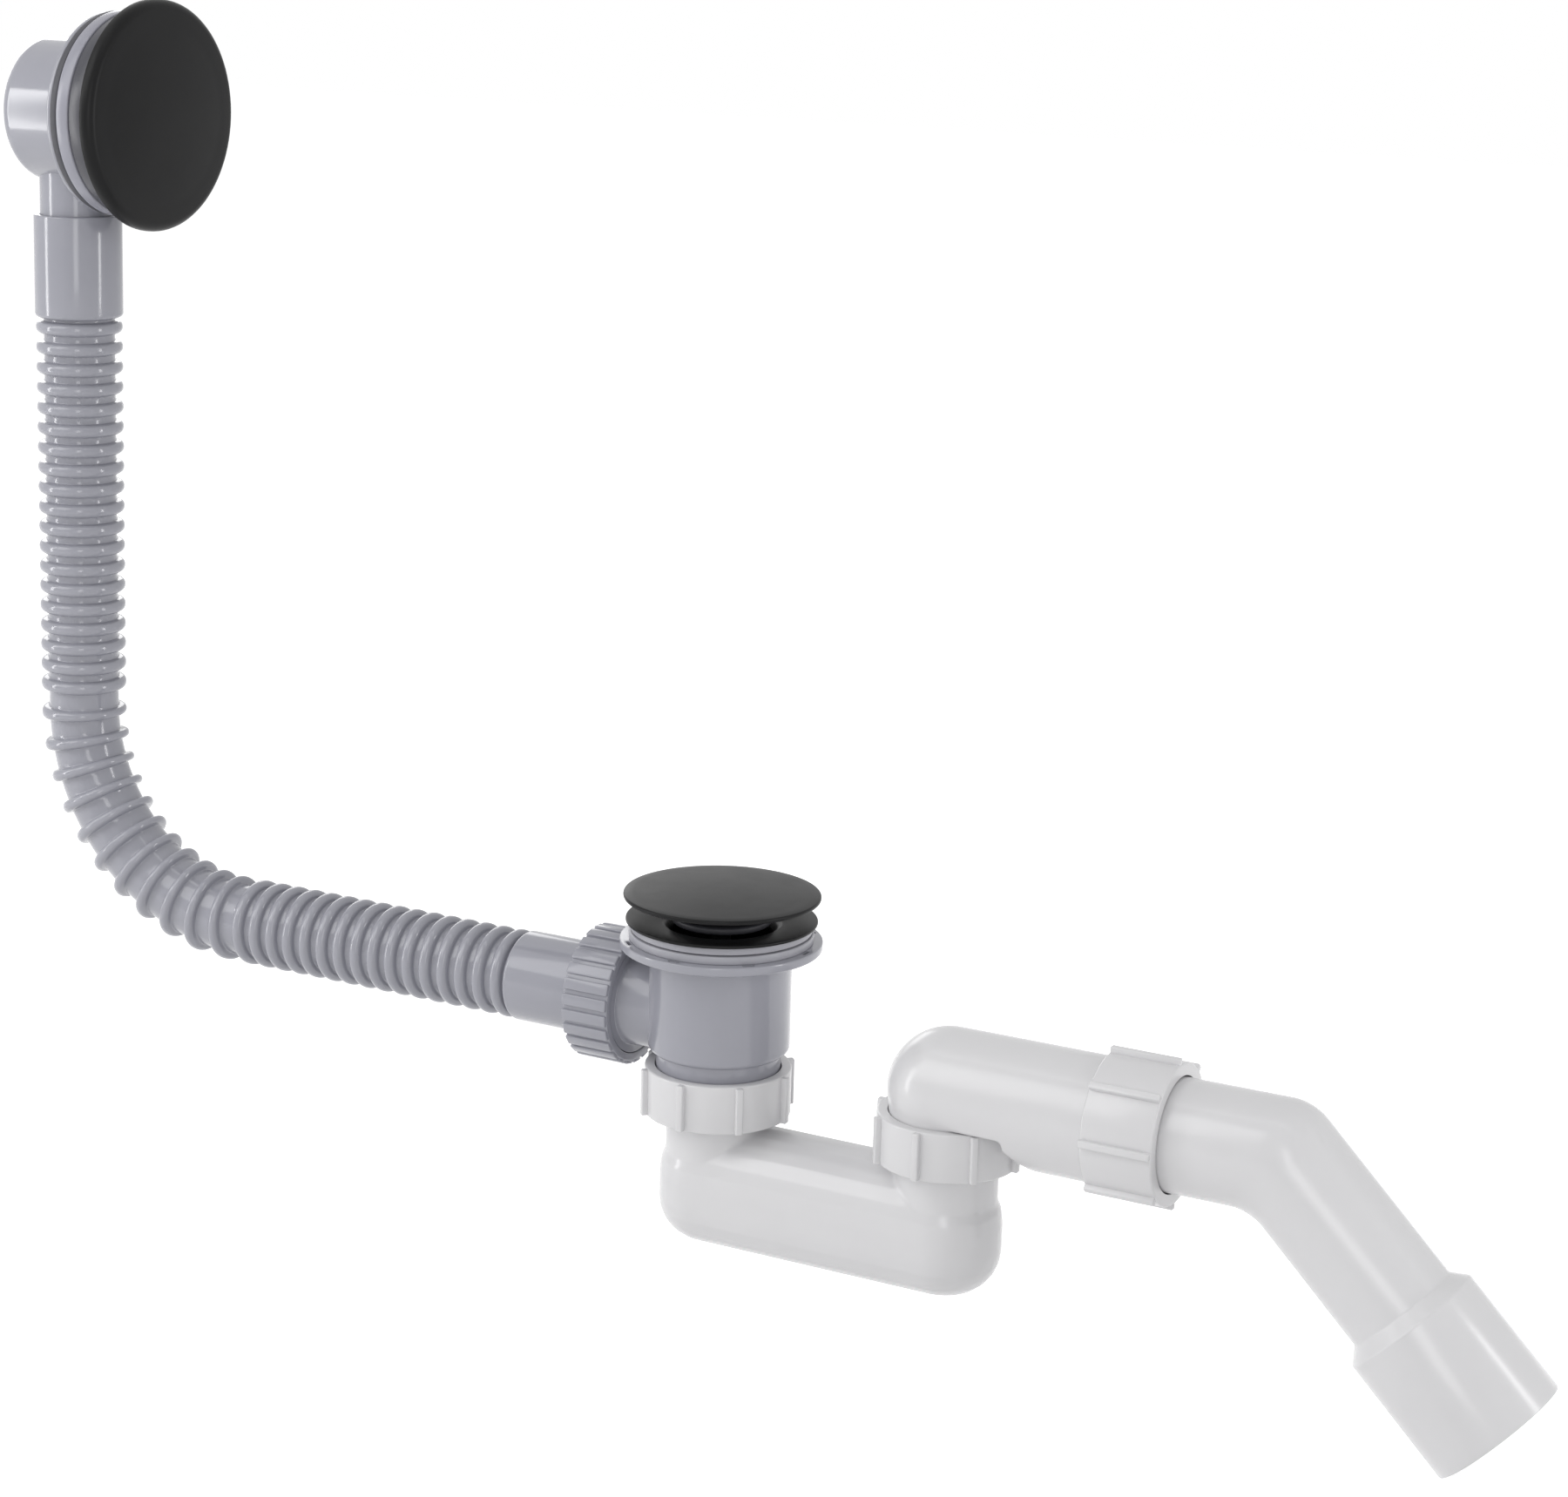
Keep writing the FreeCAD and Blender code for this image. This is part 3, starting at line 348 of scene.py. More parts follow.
def sums(group, kind, *values):
    """A sum, product or maximum of values and plain numbers."""
    node = group.nodes.new("ShaderNodeMath")
    node.operation = kind
    for socket, value in zip(node.inputs, values):
        if isinstance(value, (int, float)):
            socket.default_value = value
        else:
            group.links.new(value, socket)
    return node.outputs[0]


print("node tools ready")

# %% Build the moulded surface group
CLOUDS, FINE_CLOUDS, SCUFF_MARKS, PEEL, FINE_GRAIN = 28, 160, 60, 420, 2600  # waves to a metre
FINE_SHARE, SCUFF_SHARE, PEEL_SHARE = 0.35, 0.25, 0.5
moulded = bpy.data.node_groups.new("moulded_surface", "ShaderNodeTree")
add_socket(moulded, "Vector", "NodeSocketVector", "INPUT")
add_socket(moulded, "Colour", "NodeSocketColor", "INPUT", (0.5, 0.5, 0.5, 1))
add_socket(moulded, "Cloud Colour", "NodeSocketColor", "INPUT", (0.45, 0.45, 0.45, 1))
add_socket(moulded, "Roughness", "NodeSocketFloat", "INPUT", 0.3)
add_socket(moulded, "Scuffs", "NodeSocketFloat", "INPUT", 0.3)
add_socket(moulded, "Grain", "NodeSocketFloat", "INPUT", 0.3)
for socket_name, socket_kind in (("Colour", "NodeSocketColor"), ("Roughness", "NodeSocketFloat"),
                                 ("Height", "NodeSocketFloat")):
    add_socket(moulded, socket_name, socket_kind, "OUTPUT")
inlet = moulded.nodes.new("NodeGroupInput")
result = moulded.nodes.new("NodeGroupOutput")
place = inlet.outputs["Vector"]
clouds = spread(moulded, noise(moulded, place, CLOUDS, 4), 0.35, 0.7)
fine_clouds = spread(moulded, noise(moulded, place, FINE_CLOUDS, 2), 0.4, 0.7, 0.0, FINE_SHARE)
flow = sums(moulded, "MAXIMUM", clouds, fine_clouds)
tint = blend_colour(moulded, flow, inlet.outputs["Colour"], inlet.outputs["Cloud Colour"])
moulded.links.new(tint, result.inputs["Colour"])
scuff_noise = spread(moulded, noise(moulded, place, SCUFF_MARKS, 4, 0.6), 0.45, 0.8)
scuffs = sums(moulded, "MULTIPLY", scuff_noise, inlet.outputs["Scuffs"])
duller = sums(moulded, "ADD", inlet.outputs["Roughness"], sums(moulded, "MULTIPLY", scuffs, SCUFF_SHARE))
moulded.links.new(duller, result.inputs["Roughness"])
grain = noise(moulded, place, FINE_GRAIN, 2)
orange_peel = noise(moulded, place, PEEL, 2)
height = sums(moulded, "ADD", sums(moulded, "MULTIPLY", grain, inlet.outputs["Grain"]),
              sums(moulded, "MULTIPLY", orange_peel, PEEL_SHARE))
moulded.links.new(height, result.inputs["Height"])
print("moulded_surface group has", len(moulded.nodes), "nodes")

# %% [markdown]
# ## Finishes
#
# Grey polypropylene with a soft gloss, milky white polypropylene, black powder coat with a fine dry grain, a dark
# blue-grey for the cover's carrier that is painted shade and a painted reflection of the black cover, soft rubber
# and steel. The gloss of the two plastics comes from a low roughness without a coat, so that the studio's strips
# show as long soft bands.


# %% One moulded or coated material
BUMP_DEEP, SCATTER = 0.0004, (0.004, 0.004, 0.004)  # metres


def plastic(name, colour, cloud, roughness, scuffs=0.12, grain=0.3, bump=0.012, subsurface=0.0, specular=0.5):
    """A material with its own colours and strengths of the moulded surface."""
    material = bpy.data.materials.new(name)
    material.use_nodes = True
    tree = material.node_tree
    shader = tree.nodes["Principled BSDF"]
    where = tree.nodes.new("ShaderNodeTexCoord")
    effect = tree.nodes.new("ShaderNodeGroup")
    effect.node_tree = moulded
    for socket_name, value in (("Colour", (*colour, 1)), ("Cloud Colour", (*cloud, 1)), ("Roughness", roughness),
                               ("Scuffs", scuffs), ("Grain", grain)):
        effect.inputs[socket_name].default_value = value
    relief = tree.nodes.new("ShaderNodeBump")
    relief.inputs["Strength"].default_value = bump
    relief.inputs["Distance"].default_value = BUMP_DEEP
    tree.links.new(where.outputs["Object"], effect.inputs["Vector"])
    tree.links.new(effect.outputs["Colour"], shader.inputs["Base Color"])
    tree.links.new(effect.outputs["Roughness"], shader.inputs["Roughness"])
    tree.links.new(effect.outputs["Height"], relief.inputs["Height"])
    tree.links.new(relief.outputs["Normal"], shader.inputs["Normal"])
    shader.inputs["Specular IOR Level"].default_value = specular
    if subsurface:
        shader.inputs["Subsurface Weight"].default_value = subsurface
        shader.inputs["Subsurface Radius"].default_value = SCATTER
    return material


print("bumps are", BUMP_DEEP / MM, "mm deep at most")

# %% Make the finishes and put them on the CAD nodes
finishes = {
    "grey_plastic": plastic("grey_polypropylene", (0.318, 0.32, 0.36), (0.304, 0.306, 0.346), 0.13),
    "pale_plastic": plastic("white_polypropylene", (0.66, 0.657, 0.668), (0.645, 0.641, 0.653), 0.22,
                            subsurface=0.08),
    "pale_gasket": plastic("pale_gasket_rubber", (0.35, 0.35, 0.385), (0.335, 0.335, 0.37), 0.35, bump=0.03),
    "black_finish": plastic("black_powder_coat", (0.007, 0.007, 0.0075), (0.0095, 0.0095, 0.01), 0.36,
                            scuffs=0.2, grain=1.0, bump=0.04, specular=0.14),
    "black_plastic": plastic("black_plastic", (0.01, 0.01, 0.011), (0.013, 0.013, 0.014), 0.34, specular=0.25),
    # the dark blue-grey is painted shade: the shade and the reflection of the black cover, put into the carrier's
    # colour
    "dark_plastic": plastic("blue_grey_painted_shade", (0.05, 0.05, 0.062), (0.056, 0.056, 0.068), 0.28, specular=0.4),
    "seal_rubber": plastic("seal_rubber", (0.045, 0.045, 0.055), (0.052, 0.052, 0.062), 0.5, bump=0.05),
    "spring_steel": plastic("spring_steel", (0.55, 0.55, 0.56), (0.45, 0.45, 0.46), 0.28),
}
clamp_ring_finish = plastic("pale_clamp_ring", (0.29, 0.29, 0.335), (0.28, 0.28, 0.325), 0.25, specular=0.4)
finishes["spring_steel"].node_tree.nodes["Principled BSDF"].inputs["Metallic"].default_value = 1.0
for node_name, node_object in frame["nodes"].items():
    finish = clamp_ring_finish if node_name == "front_ring" else finishes[slot_of[node_name]]
    for material_slot in node_object.material_slots:
        material_slot.material = finish
print(len(finishes), "finishes on", len(frame["nodes"]), "nodes")

# %% [markdown]
# ## The studio
#
# A white floor and a white world, which only the camera and the reflections see at full strength, a large soft
# lamp above and in front, narrow strips at the sides and above that draw the long highlights on the tubes, and a
# small lamp behind for a rim of light on the black cap.

# %% What shows the background at full strength
def seen_directly(tree):
    """1 for rays from the camera, from a glossy surface or through a clear one."""
    path = tree.nodes.new("ShaderNodeLightPath")
    either = tree.nodes.new("ShaderNodeMath")
    either.operation = "MAXIMUM"
    tree.links.new(path.outputs["Is Camera Ray"], either.inputs[0])
    tree.links.new(path.outputs["Is Glossy Ray"], either.inputs[1])
    last = tree.nodes.new("ShaderNodeMath")
    last.operation = "MAXIMUM"
    tree.links.new(either.outputs[0], last.inputs[0])
    tree.links.new(path.outputs["Is Transmission Ray"], last.inputs[1])
    return last.outputs[0]


print("rays that see the background: camera, glossy and transmission")

# %% The floor
FLOOR_Z, FLOOR_SIZE, FLOOR_GLOW = -0.1425, 12, 0.6
clear_selection()
bpy.ops.mesh.primitive_plane_add(size=FLOOR_SIZE, location=(0, 0, FLOOR_Z))
floor = bpy.context.object
floor.name = "studio_floor"
paper = bpy.data.materials.new("white_paper")
paper.use_nodes = True
paper_shader = paper.node_tree.nodes["Principled BSDF"]
paper_shader.inputs["Base Color"].default_value = (0.9, 0.9, 0.9, 1)
paper_shader.inputs["Roughness"].default_value = 0.9
paper_shader.inputs["Specular IOR Level"].default_value = 0.0
paper_shader.inputs["Emission Color"].default_value = (1, 1, 1, 1)
glow = paper.node_tree.nodes.new("ShaderNodeMath")
glow.operation = "MULTIPLY"
glow.inputs[1].default_value = FLOOR_GLOW
paper.node_tree.links.new(seen_directly(paper.node_tree), glow.inputs[0])
paper.node_tree.links.new(glow.outputs[0], paper_shader.inputs["Emission Strength"])
floor.data.materials.append(paper)
print("floor at", FLOOR_Z, "m")

# %% The world
WORLD_LIGHT, WORLD_SEEN = 0.5, 1.0
world = bpy.data.worlds.new("white_studio")
bpy.context.scene.world = world
world.use_nodes = True
sky = world.node_tree.nodes["Background"]
sky.inputs["Color"].default_value = (1, 1, 1, 1)
strength = world.node_tree.nodes.new("ShaderNodeMapRange")
strength.inputs["To Min"].default_value = WORLD_LIGHT
strength.inputs["To Max"].default_value = WORLD_SEEN
world.node_tree.links.new(seen_directly(world.node_tree), strength.inputs["Value"])
world.node_tree.links.new(strength.outputs["Result"], sky.inputs["Strength"])
print("world lights at", WORLD_LIGHT, "and is seen at", WORLD_SEEN)


# %% The lamps
def lamp(name, place_at, aim_at, width, height, watts):
    """A rectangular area lamp that faces a point, in metres and watts."""
    clear_selection()
    bpy.ops.object.light_add(type="AREA", location=place_at)
    made = bpy.context.object
    made.name = name
    made.data.shape = "RECTANGLE"
    made.data.size, made.data.size_y = width, height
    made.data.energy = watts
    made.rotation_euler = (Vector(aim_at) - Vector(place_at)).to_track_quat("-Z", "Y").to_euler()


# name, place, what it faces, width, height, watts
lamp("soft_key", (-0.9, -1.2, 1.3), (0, 0, 0.05), 1.2, 1.2, 11)
lamp("strip_right", (1.25, 0.15, 0.25), (0, 0, 0.1), 0.16, 1.0, 4.5)
lamp("strip_front", (0.75, -1.6, 0.5), (0, 0, 0.1), 0.4, 1.2, 5)
lamp("strip_left", (-1.1, -0.65, 0.2), (-0.2, 0, 0.1), 0.14, 1.0, 4)
lamp("strip_above", (-0.15, -0.25, 1.3), (-0.1, 0, 0), 1.4, 0.12, 1)
lamp("rim_behind", (-1.3, 1.2, 0.55), (0, 0, 0.1), 0.8, 0.5, 2.5)

# %% [markdown]
# ## The camera
#
# The photograph was taken with a long lens from the front right, a little above the waste, with its upright
# lines kept parallel, as with a shifted lens. The place, the aim, the lens and a small shift below were found by
# fitting the known points of the object to the photograph.

# %% Set the camera
CAMERA_AT = Vector((577.55, -1059.84, 371.36)) * MM
HEADING, TILT, ROLL = math.radians(117.672), math.radians(-11.484), math.radians(1.603)
LENS, SHIFT_UP = 79.15, -0.1
look = Vector((math.cos(TILT) * math.cos(HEADING), math.cos(TILT) * math.sin(HEADING), math.sin(TILT)))
right = Vector((math.sin(HEADING), -math.cos(HEADING), 0))
up = right.cross(look)
right, up = (right * math.cos(ROLL) + up * math.sin(ROLL), up * math.cos(ROLL) - right * math.sin(ROLL))
bpy.ops.object.camera_add(location=CAMERA_AT)
camera = bpy.context.object
camera.name = "photo_camera"
camera.data.sensor_width = 36
camera.data.lens = LENS
camera.data.shift_y = SHIFT_UP
camera.data.clip_start, camera.data.clip_end = 0.05, 20
camera.rotation_euler = Matrix((right, up, -look)).transposed().to_euler()
bpy.context.scene.camera = camera
bpy.context.scene.view_settings.view_transform = "Standard"
print("camera at", [round(v, 3) for v in CAMERA_AT])

# %% [markdown]
# ## The corrugated hose
#
# The real hose is blow moulded as a straight tube, and the fitter bends it by hand. It is made here the same
# way: the whole length, with both cuffs, is turned as one straight piece, and the Simple Deform modifier bends
# its middle through a quarter turn. The ribs are round beads; where the hose is stretched in the bend they are
# thinner and stand further apart. Sweeping a circle along a path would give the tube but not the ribs.

# %% Measure the hose's place
TUBE_R, BORE_R, CUFF_R, COLLAR_R = 13.65, 12.35, 17.0, 20.6
BEAD_R, BEAD_PITCH = 16.7, 7.93
STRAIGHT_BEAD = (2.5, 2.35, 2.1)  # half its width at the root and at the crest, and the crest's rounding
BEND_BEAD = (2.2, 2.05, 1.85)
RISER_BEADS, RUN_BEADS, BEND_BEADS = 19, 16, 11
BEND_R, BEND_STEP = 77.0, 8.63  # millimetres, and degrees from bead to bead
CUFF_LONG, RUN_CUFF_LONG, CUFF_SOCKET, SOCKET_R, COLLAR_H = 40.0, 31.0, 12.3, 14.8, 3.0
TUBE_STEP, BORE_STEP = 1.5, 4.0  # lengths of the plain pieces that bend
HOSE_AROUND = 80  # steps of a full turn
CUP_BACK = -15.4

overflow_at = mount_at["bath_wall_seat"]
hose_high = span("overflow_hose")[1]
RISER_X = span("overflow_body")[0].x - CUP_BACK
RUN_Z = round((span("hose_nut")[0].z + span("hose_nut")[1].z) / 2, 1)
bend_centre_z = RUN_Z + BEND_R
bend_long = BEND_R * math.pi / 2
riser_top = bend_centre_z - hose_high.z
run_end = bend_long + hose_high.x - (RISER_X + BEND_R)
print("riser at x", round(RISER_X, 1), "and level run at z", RUN_Z)


# %% Draw the hose straight
def bead(middle, half_root, half_crest, rounding):
    """One round rib at a distance along the hose."""
    return [(TUBE_R, middle - half_root, 0.5), (BEAD_R, middle - half_crest, rounding),
            (BEAD_R, middle + half_crest, rounding), (TUBE_R, middle + half_root, 0.5)]


def stretch(radius, start, end, step):
    """Plain points along a tube, so that it can bend."""
    count = max(int(abs(end - start) / step), 1)
    return [(radius, start + (end - start) * number / count) for number in range(1, count)]


hose_line = [(SOCKET_R, riser_top), (CUFF_R, riser_top, 0.5), (CUFF_R, riser_top + CUFF_LONG, 1.6),
             (TUBE_R, riser_top + CUFF_LONG, 0.6)]
for number in range(RISER_BEADS):
    hose_line += bead(riser_top + CUFF_LONG + BEAD_PITCH * (number + 0.5), *STRAIGHT_BEAD)
first_bead = (bend_long - math.radians(BEND_STEP) * BEND_R * (BEND_BEADS - 1)) / 2
last_end = hose_line[-1][1]
for number in range(BEND_BEADS):
    middle = first_bead + math.radians(BEND_STEP) * BEND_R * number
    hose_line += stretch(TUBE_R, last_end, middle - BEND_BEAD[0], TUBE_STEP) + bead(middle, *BEND_BEAD)
    last_end = hose_line[-1][1]
run_cuff = run_end - (hose_high.x - (span("hose_nut")[0].x - RUN_CUFF_LONG))
first_on_run = run_cuff - BEAD_PITCH * (RUN_BEADS - 0.5)
hose_line += stretch(TUBE_R, last_end, first_on_run - STRAIGHT_BEAD[0], TUBE_STEP)
for number in range(RUN_BEADS):
    hose_line += bead(run_cuff - BEAD_PITCH * (RUN_BEADS - number - 0.5), *STRAIGHT_BEAD)
hose_line += [(TUBE_R, run_cuff, 0.6), (CUFF_R, run_cuff, 1.6), (CUFF_R, run_end - COLLAR_H),
              (COLLAR_R, run_end - COLLAR_H, 0.4), (COLLAR_R, run_end, 0.3), (BORE_R, run_end)]
hose_line += stretch(BORE_R, run_end, riser_top + CUFF_SOCKET, BORE_STEP)
hose_line += [(BORE_R, riser_top + CUFF_SOCKET), (SOCKET_R, riser_top + CUFF_SOCKET)]
hose = lathe("corrugated_hose", hose_line, steps=HOSE_AROUND)
print("straight hose:", round(run_end - riser_top), "mm long,", len(hose.data.polygons), "faces")

# %% Bend the hose
bend = hose.modifiers.new("bend", "SIMPLE_DEFORM")
bend.deform_method = "BEND"
bend.deform_axis = "Y"
bend.angle = math.pi / 2
whole = run_end - riser_top
bend.limits = (-riser_top / whole, (bend_long - riser_top) / whole)
pick(hose)
bpy.ops.object.modifier_apply(modifier=bend.name)
hose.rotation_euler = (math.pi, 0, 0)
hose.location = (RISER_X * MM, 0, bend_centre_z * MM)
bpy.ops.object.transform_apply(location=True, rotation=True, scale=True)
smooth(hose, degrees=40)
finish_piece(hose, "waste", "overflow_hose")

# %% [markdown]
# ## Union nuts
#
# Three white nuts hold the trap, the elbow and the outlet. Each is a threaded sleeve with eight proud ribs for
# the hand, and the grey nut on the side arm has twenty-six low round ridges. One rib is made with rounded edges
# and copied round the sleeve: the real mould repeats it in the same way.


# %% Make the three white nuts
NUT_LONG, NUT_FLOOR = 18.0, 3.0
RIBS, RIB_ROOT, RIB_PROUD, RIB_HALF_W, RIB_RIM, RIB_EDGE = 8, 1.2, 2.1, 1.3, 0.3, 0.45


def union_nut(name, radius, bore, hole, length, floor_h):
    """A sleeve with a floor and eight ribs, on its own axis."""
    sleeve = lathe(name, [(hole, 0), (radius, 0, 0.7), (radius, length, 0.7), (bore, length, 0.3),
                          (bore, floor_h), (hole, floor_h)])
    rib = bar("rib", radius - RIB_ROOT, radius + RIB_PROUD, -RIB_HALF_W, RIB_HALF_W, RIB_RIM, length - RIB_RIM,
              RIB_EDGE)
    return join(name, sleeve, around(rib, RIBS))


nut_z = span("inlet_nut")[0].z
riser_at = joint_at["elbow_swivel"]
outlet_at = joint_at["outlet_swivel"]
inlet_nut = lay(union_nut("inlet_union_nut", radius=27.0, bore=23.3, hole=19.0, length=NUT_LONG,
                          floor_h=NUT_FLOOR), 0, nut_z)
finish_piece(inlet_nut, "waste", "inlet_nut")
riser_nut = lay(union_nut("riser_union_nut", radius=25.7, bore=21.7, hole=19.0, length=NUT_LONG,
                          floor_h=NUT_FLOOR), riser_at.x, nut_z)
finish_piece(riser_nut, "elbow", "riser_nut")
outlet_nut = lay(union_nut("outlet_union_nut", radius=25.2, bore=22.6, hole=20.7, length=26.4, floor_h=3.2),
                 span("outlet_nut")[1].x, outlet_at.z, -EAST)
finish_piece(outlet_nut, "elbow", "outlet_nut")

# %% Make the grey nut
HOSE_NUT_R, HOSE_NUT_BORE, HOSE_NUT_HOLE, HOSE_NUT_LONG, HOSE_NUT_FLOOR = 23.9, 20.9, 17.3, 19.0, 3.2
RIDGES, RIDGE_IN, RIDGE_OUT, RIDGE_W, RIDGE_RIM = 26, 23.0, 25.0, 4.3, 0.2
hose_nut_room = HOSE_NUT_LONG - HOSE_NUT_FLOOR
sleeve = lathe("hose_union_nut", [
    (HOSE_NUT_BORE, 0, 0.4), (HOSE_NUT_R, 0, 0.6), (HOSE_NUT_R, HOSE_NUT_LONG, 0.8),
    (HOSE_NUT_HOLE, HOSE_NUT_LONG, 0.4), (HOSE_NUT_HOLE, hose_nut_room),
    (HOSE_NUT_BORE, hose_nut_room)])
ridge = bar("ridge", RIDGE_IN, RIDGE_OUT, -RIDGE_W / 2, RIDGE_W / 2, RIDGE_RIM, HOSE_NUT_LONG - RIDGE_RIM, 0.5)
hose_nut = lay(join("hose_union_nut", sleeve, around(ridge, RIDGES)), span("hose_nut")[1].x, RUN_Z, -EAST)
finish_piece(hose_nut, "waste", "hose_nut")

# %% [markdown]
# ## Plug and flange
#
# The plug's cap is a shallow spun dome with a rolled rim, and the flange under it is a dish with the same finish.
# Both are turned. The dome is an arc worked out from its rise, because a flat disc with a bevel would not catch
# the soft wide reflection that the real cap shows.

# %% Turn the plug's cap and its seal
cap_low, cap_high = span("plug_cap")
CAP_R, CAP_RIM, CAP_CROWN, CAP_WALL = 36.1, 1.7, 1.7, 1.6
UNDER_CAP, LIP_IN, LIP_OUT, CROWN_IN = 0.9, 3.2, 2.2, 0.7  # depth under the rim, and ways in from the edge
BOSS_R, SEAL_R, RETAINER_R = 9.0, 18.3, 14.0
seal_low, seal_high = span("plug_seal")
rim_z = cap_high.z - CAP_CROWN
cap = lathe("domed_cap", [
    (0, cap_low.z), (BOSS_R, cap_low.z), (BOSS_R, seal_high.z), (RETAINER_R, seal_high.z, 0.4),
    (BOSS_R + CAP_WALL, rim_z - UNDER_CAP, 1.0), (CAP_R - LIP_IN, rim_z - UNDER_CAP, 0.5),
    (CAP_R - LIP_OUT, rim_z - CAP_RIM, 0.4), (CAP_R, rim_z - CAP_RIM, 0.75), (CAP_R, rim_z, 0.6),
] + dome(CAP_R - CROWN_IN, rim_z, CAP_CROWN), closed=False)
finish_piece(cap, "plug", "plug_cap")
plug_seal = ring("plug_seal_ring", SEAL_R, BOSS_R, seal_low.z, seal_high.z, 0.9)
finish_piece(plug_seal, "plug", "plug_seal")

# %% Turn the dished flange with its strainer
FLANGE_R, FLANGE_RIM, FLANGE_TOP, TUBE_OUT, TUBE_IN = 35.1, 1.2, 4.5, 21.5, 18.7
DISH_DROP, MOUTH_R, THROAT_DROP, TUBE_LOW, STRAINER_Z = 1.6, 20.7, 4.0, -20.0, -12.0
HUB_R, HUB_BORE, SPOKES, SPOKE_W, SPOKE_SUNK = 7.6, 5.6, 4, 2.6, 1.0
flange = lathe("dished_flange", [
    (TUBE_IN, TUBE_LOW, 0.4), (TUBE_OUT, TUBE_LOW, 0.4), (TUBE_OUT, FLANGE_TOP - FLANGE_RIM - DISH_DROP),
    (FLANGE_R, FLANGE_TOP - FLANGE_RIM, 0.5), (FLANGE_R, FLANGE_TOP, 0.5),
    (MOUTH_R, FLANGE_TOP - DISH_DROP, 1.8), (TUBE_IN, FLANGE_TOP - DISH_DROP - THROAT_DROP, 0.8),
])
spoke = around(bar("spoke", HUB_R - SPOKE_SUNK, TUBE_IN + SPOKE_SUNK, -SPOKE_W / 2, SPOKE_W / 2, TUBE_LOW,
                   STRAINER_Z, 0.5), SPOKES)
pick(spoke)
spoke.rotation_euler = (0, 0, math.pi / SPOKES)
bpy.ops.object.transform_apply(rotation=True)
flange = join("dished_flange", flange, spoke, ring("strainer_hub", HUB_R, HUB_BORE, TUBE_LOW, STRAINER_Z))
finish_piece(flange, "waste", "waste_flange")

# %% [markdown]
# ## The two pale gaskets
#
# The bath's floor is clamped between two soft rings. Here they meet, and a thin dark line shows where the floor
# goes. It is a real groove: the upper ring steps in at its foot, so the line is there from every side.

# %% Turn the two pale gaskets
GASKET_HOLE, GROOVE_DEEP, GROOVE_H, GASKET_SLOPE = 21.8, 1.6, 0.5, 1.4
gasket_high = span("upper_gasket")[1]
upper_gasket = lathe("upper_gasket_ring", [
    (GASKET_HOLE, 0), (gasket_high.x - GROOVE_DEEP, 0), (gasket_high.x - GROOVE_DEEP, GROOVE_H),
    (gasket_high.x, GROOVE_H, 0.15), (gasket_high.x, gasket_high.z, 0.5),
    (GASKET_HOLE, gasket_high.z - GASKET_SLOPE)])
finish_piece(upper_gasket, "waste", "upper_gasket")
gasket_low, gasket_high = span("lower_gasket")
lower_gasket = ring("lower_gasket_ring", gasket_high.x, GASKET_HOLE, gasket_low.z, gasket_high.z, 0.45)
finish_piece(lower_gasket, "waste", "lower_gasket")

# %% [markdown]
# ## The grey waste body
#
# The body is moulded as one piece: an upright cup with a flange, a side arm for the hose and a neck for the nut.
# The outside is two turned solids united, the inside is two turned solids cut out of them, and the eight slots
# in the flange are cut with one block that is copied round. Booleans suit it, because a mould's cores meet in
# the same crisp way.

# %% Unite the outside of the waste body
BODY_TOP, FLANGE_LOW, CHAMFER_LOW, BODY_LOW, NECK_LOW = -3.1, -6.2, -7.7, -45.4, -61.0
BODY_FLANGE_R, CHAMFER_R, BODY_R, NECK_R = 37.1, 33.4, 26.1, 23.0
ARM_ROOT_R, ARM_R, ARM_BORE, ARM_START, ARM_THREAD, ARM_END = 16.6, 17.6, 13.0, 19.9, 34.3, 44.0
body = lathe("moulded_waste_body", [
    (0, BODY_TOP), (BODY_FLANGE_R, BODY_TOP, 0.5), (BODY_FLANGE_R, FLANGE_LOW, 0.6),
    (CHAMFER_R, CHAMFER_LOW, 0.9), (BODY_R, CHAMFER_LOW, 0.9), (BODY_R, BODY_LOW, 2.8),
    (NECK_R, BODY_LOW, 0.6), (NECK_R, NECK_LOW, 0.4), (0, NECK_LOW)], closed=False)
arm = lay(lathe("arm", [(0, ARM_START), (ARM_ROOT_R, ARM_START), (ARM_R, ARM_THREAD, 0.3),
                        (COLLAR_R, ARM_THREAD), (COLLAR_R, ARM_END), (0, ARM_END)], closed=False),
          0, RUN_Z, -EAST)
combine(body, "UNION", arm)
print("body and arm have", len(body.data.polygons), "faces")

# %% Cut the inside and the slots
BODY_WALL, NECK_BORE = 2.6, 19.6
SLOTS, SLOT_IN, SLOT_OUT, SLOT_HALF_W, SLOT_DEEP = 8, 34.2, 35.5, 2.3, 2.4
chamber = lathe("chamber", [
    (0, BODY_TOP + OVERCUT), (GASKET_HOLE, BODY_TOP + OVERCUT), (GASKET_HOLE, TUBE_LOW),
    (BODY_R - BODY_WALL, TUBE_LOW - BODY_WALL), (BODY_R - BODY_WALL, BODY_LOW + BODY_WALL),
    (NECK_BORE, BODY_LOW), (NECK_BORE, NECK_LOW - OVERCUT), (0, NECK_LOW - OVERCUT)], closed=False)
arm_bore = lay(lathe("arm_bore", [(0, 0), (ARM_BORE, 0), (ARM_BORE, ARM_END + OVERCUT), (0, ARM_END + OVERCUT)],
                     closed=False), 0, RUN_Z, -EAST)
slots = around(bar("slot", SLOT_IN, SLOT_OUT, -SLOT_HALF_W, SLOT_HALF_W, BODY_TOP - SLOT_DEEP,
                   BODY_TOP + OVERCUT), SLOTS)
combine(body, "DIFFERENCE", chamber, arm_bore, slots)
smooth(body)
finish_piece(body, "waste", "waste_body")

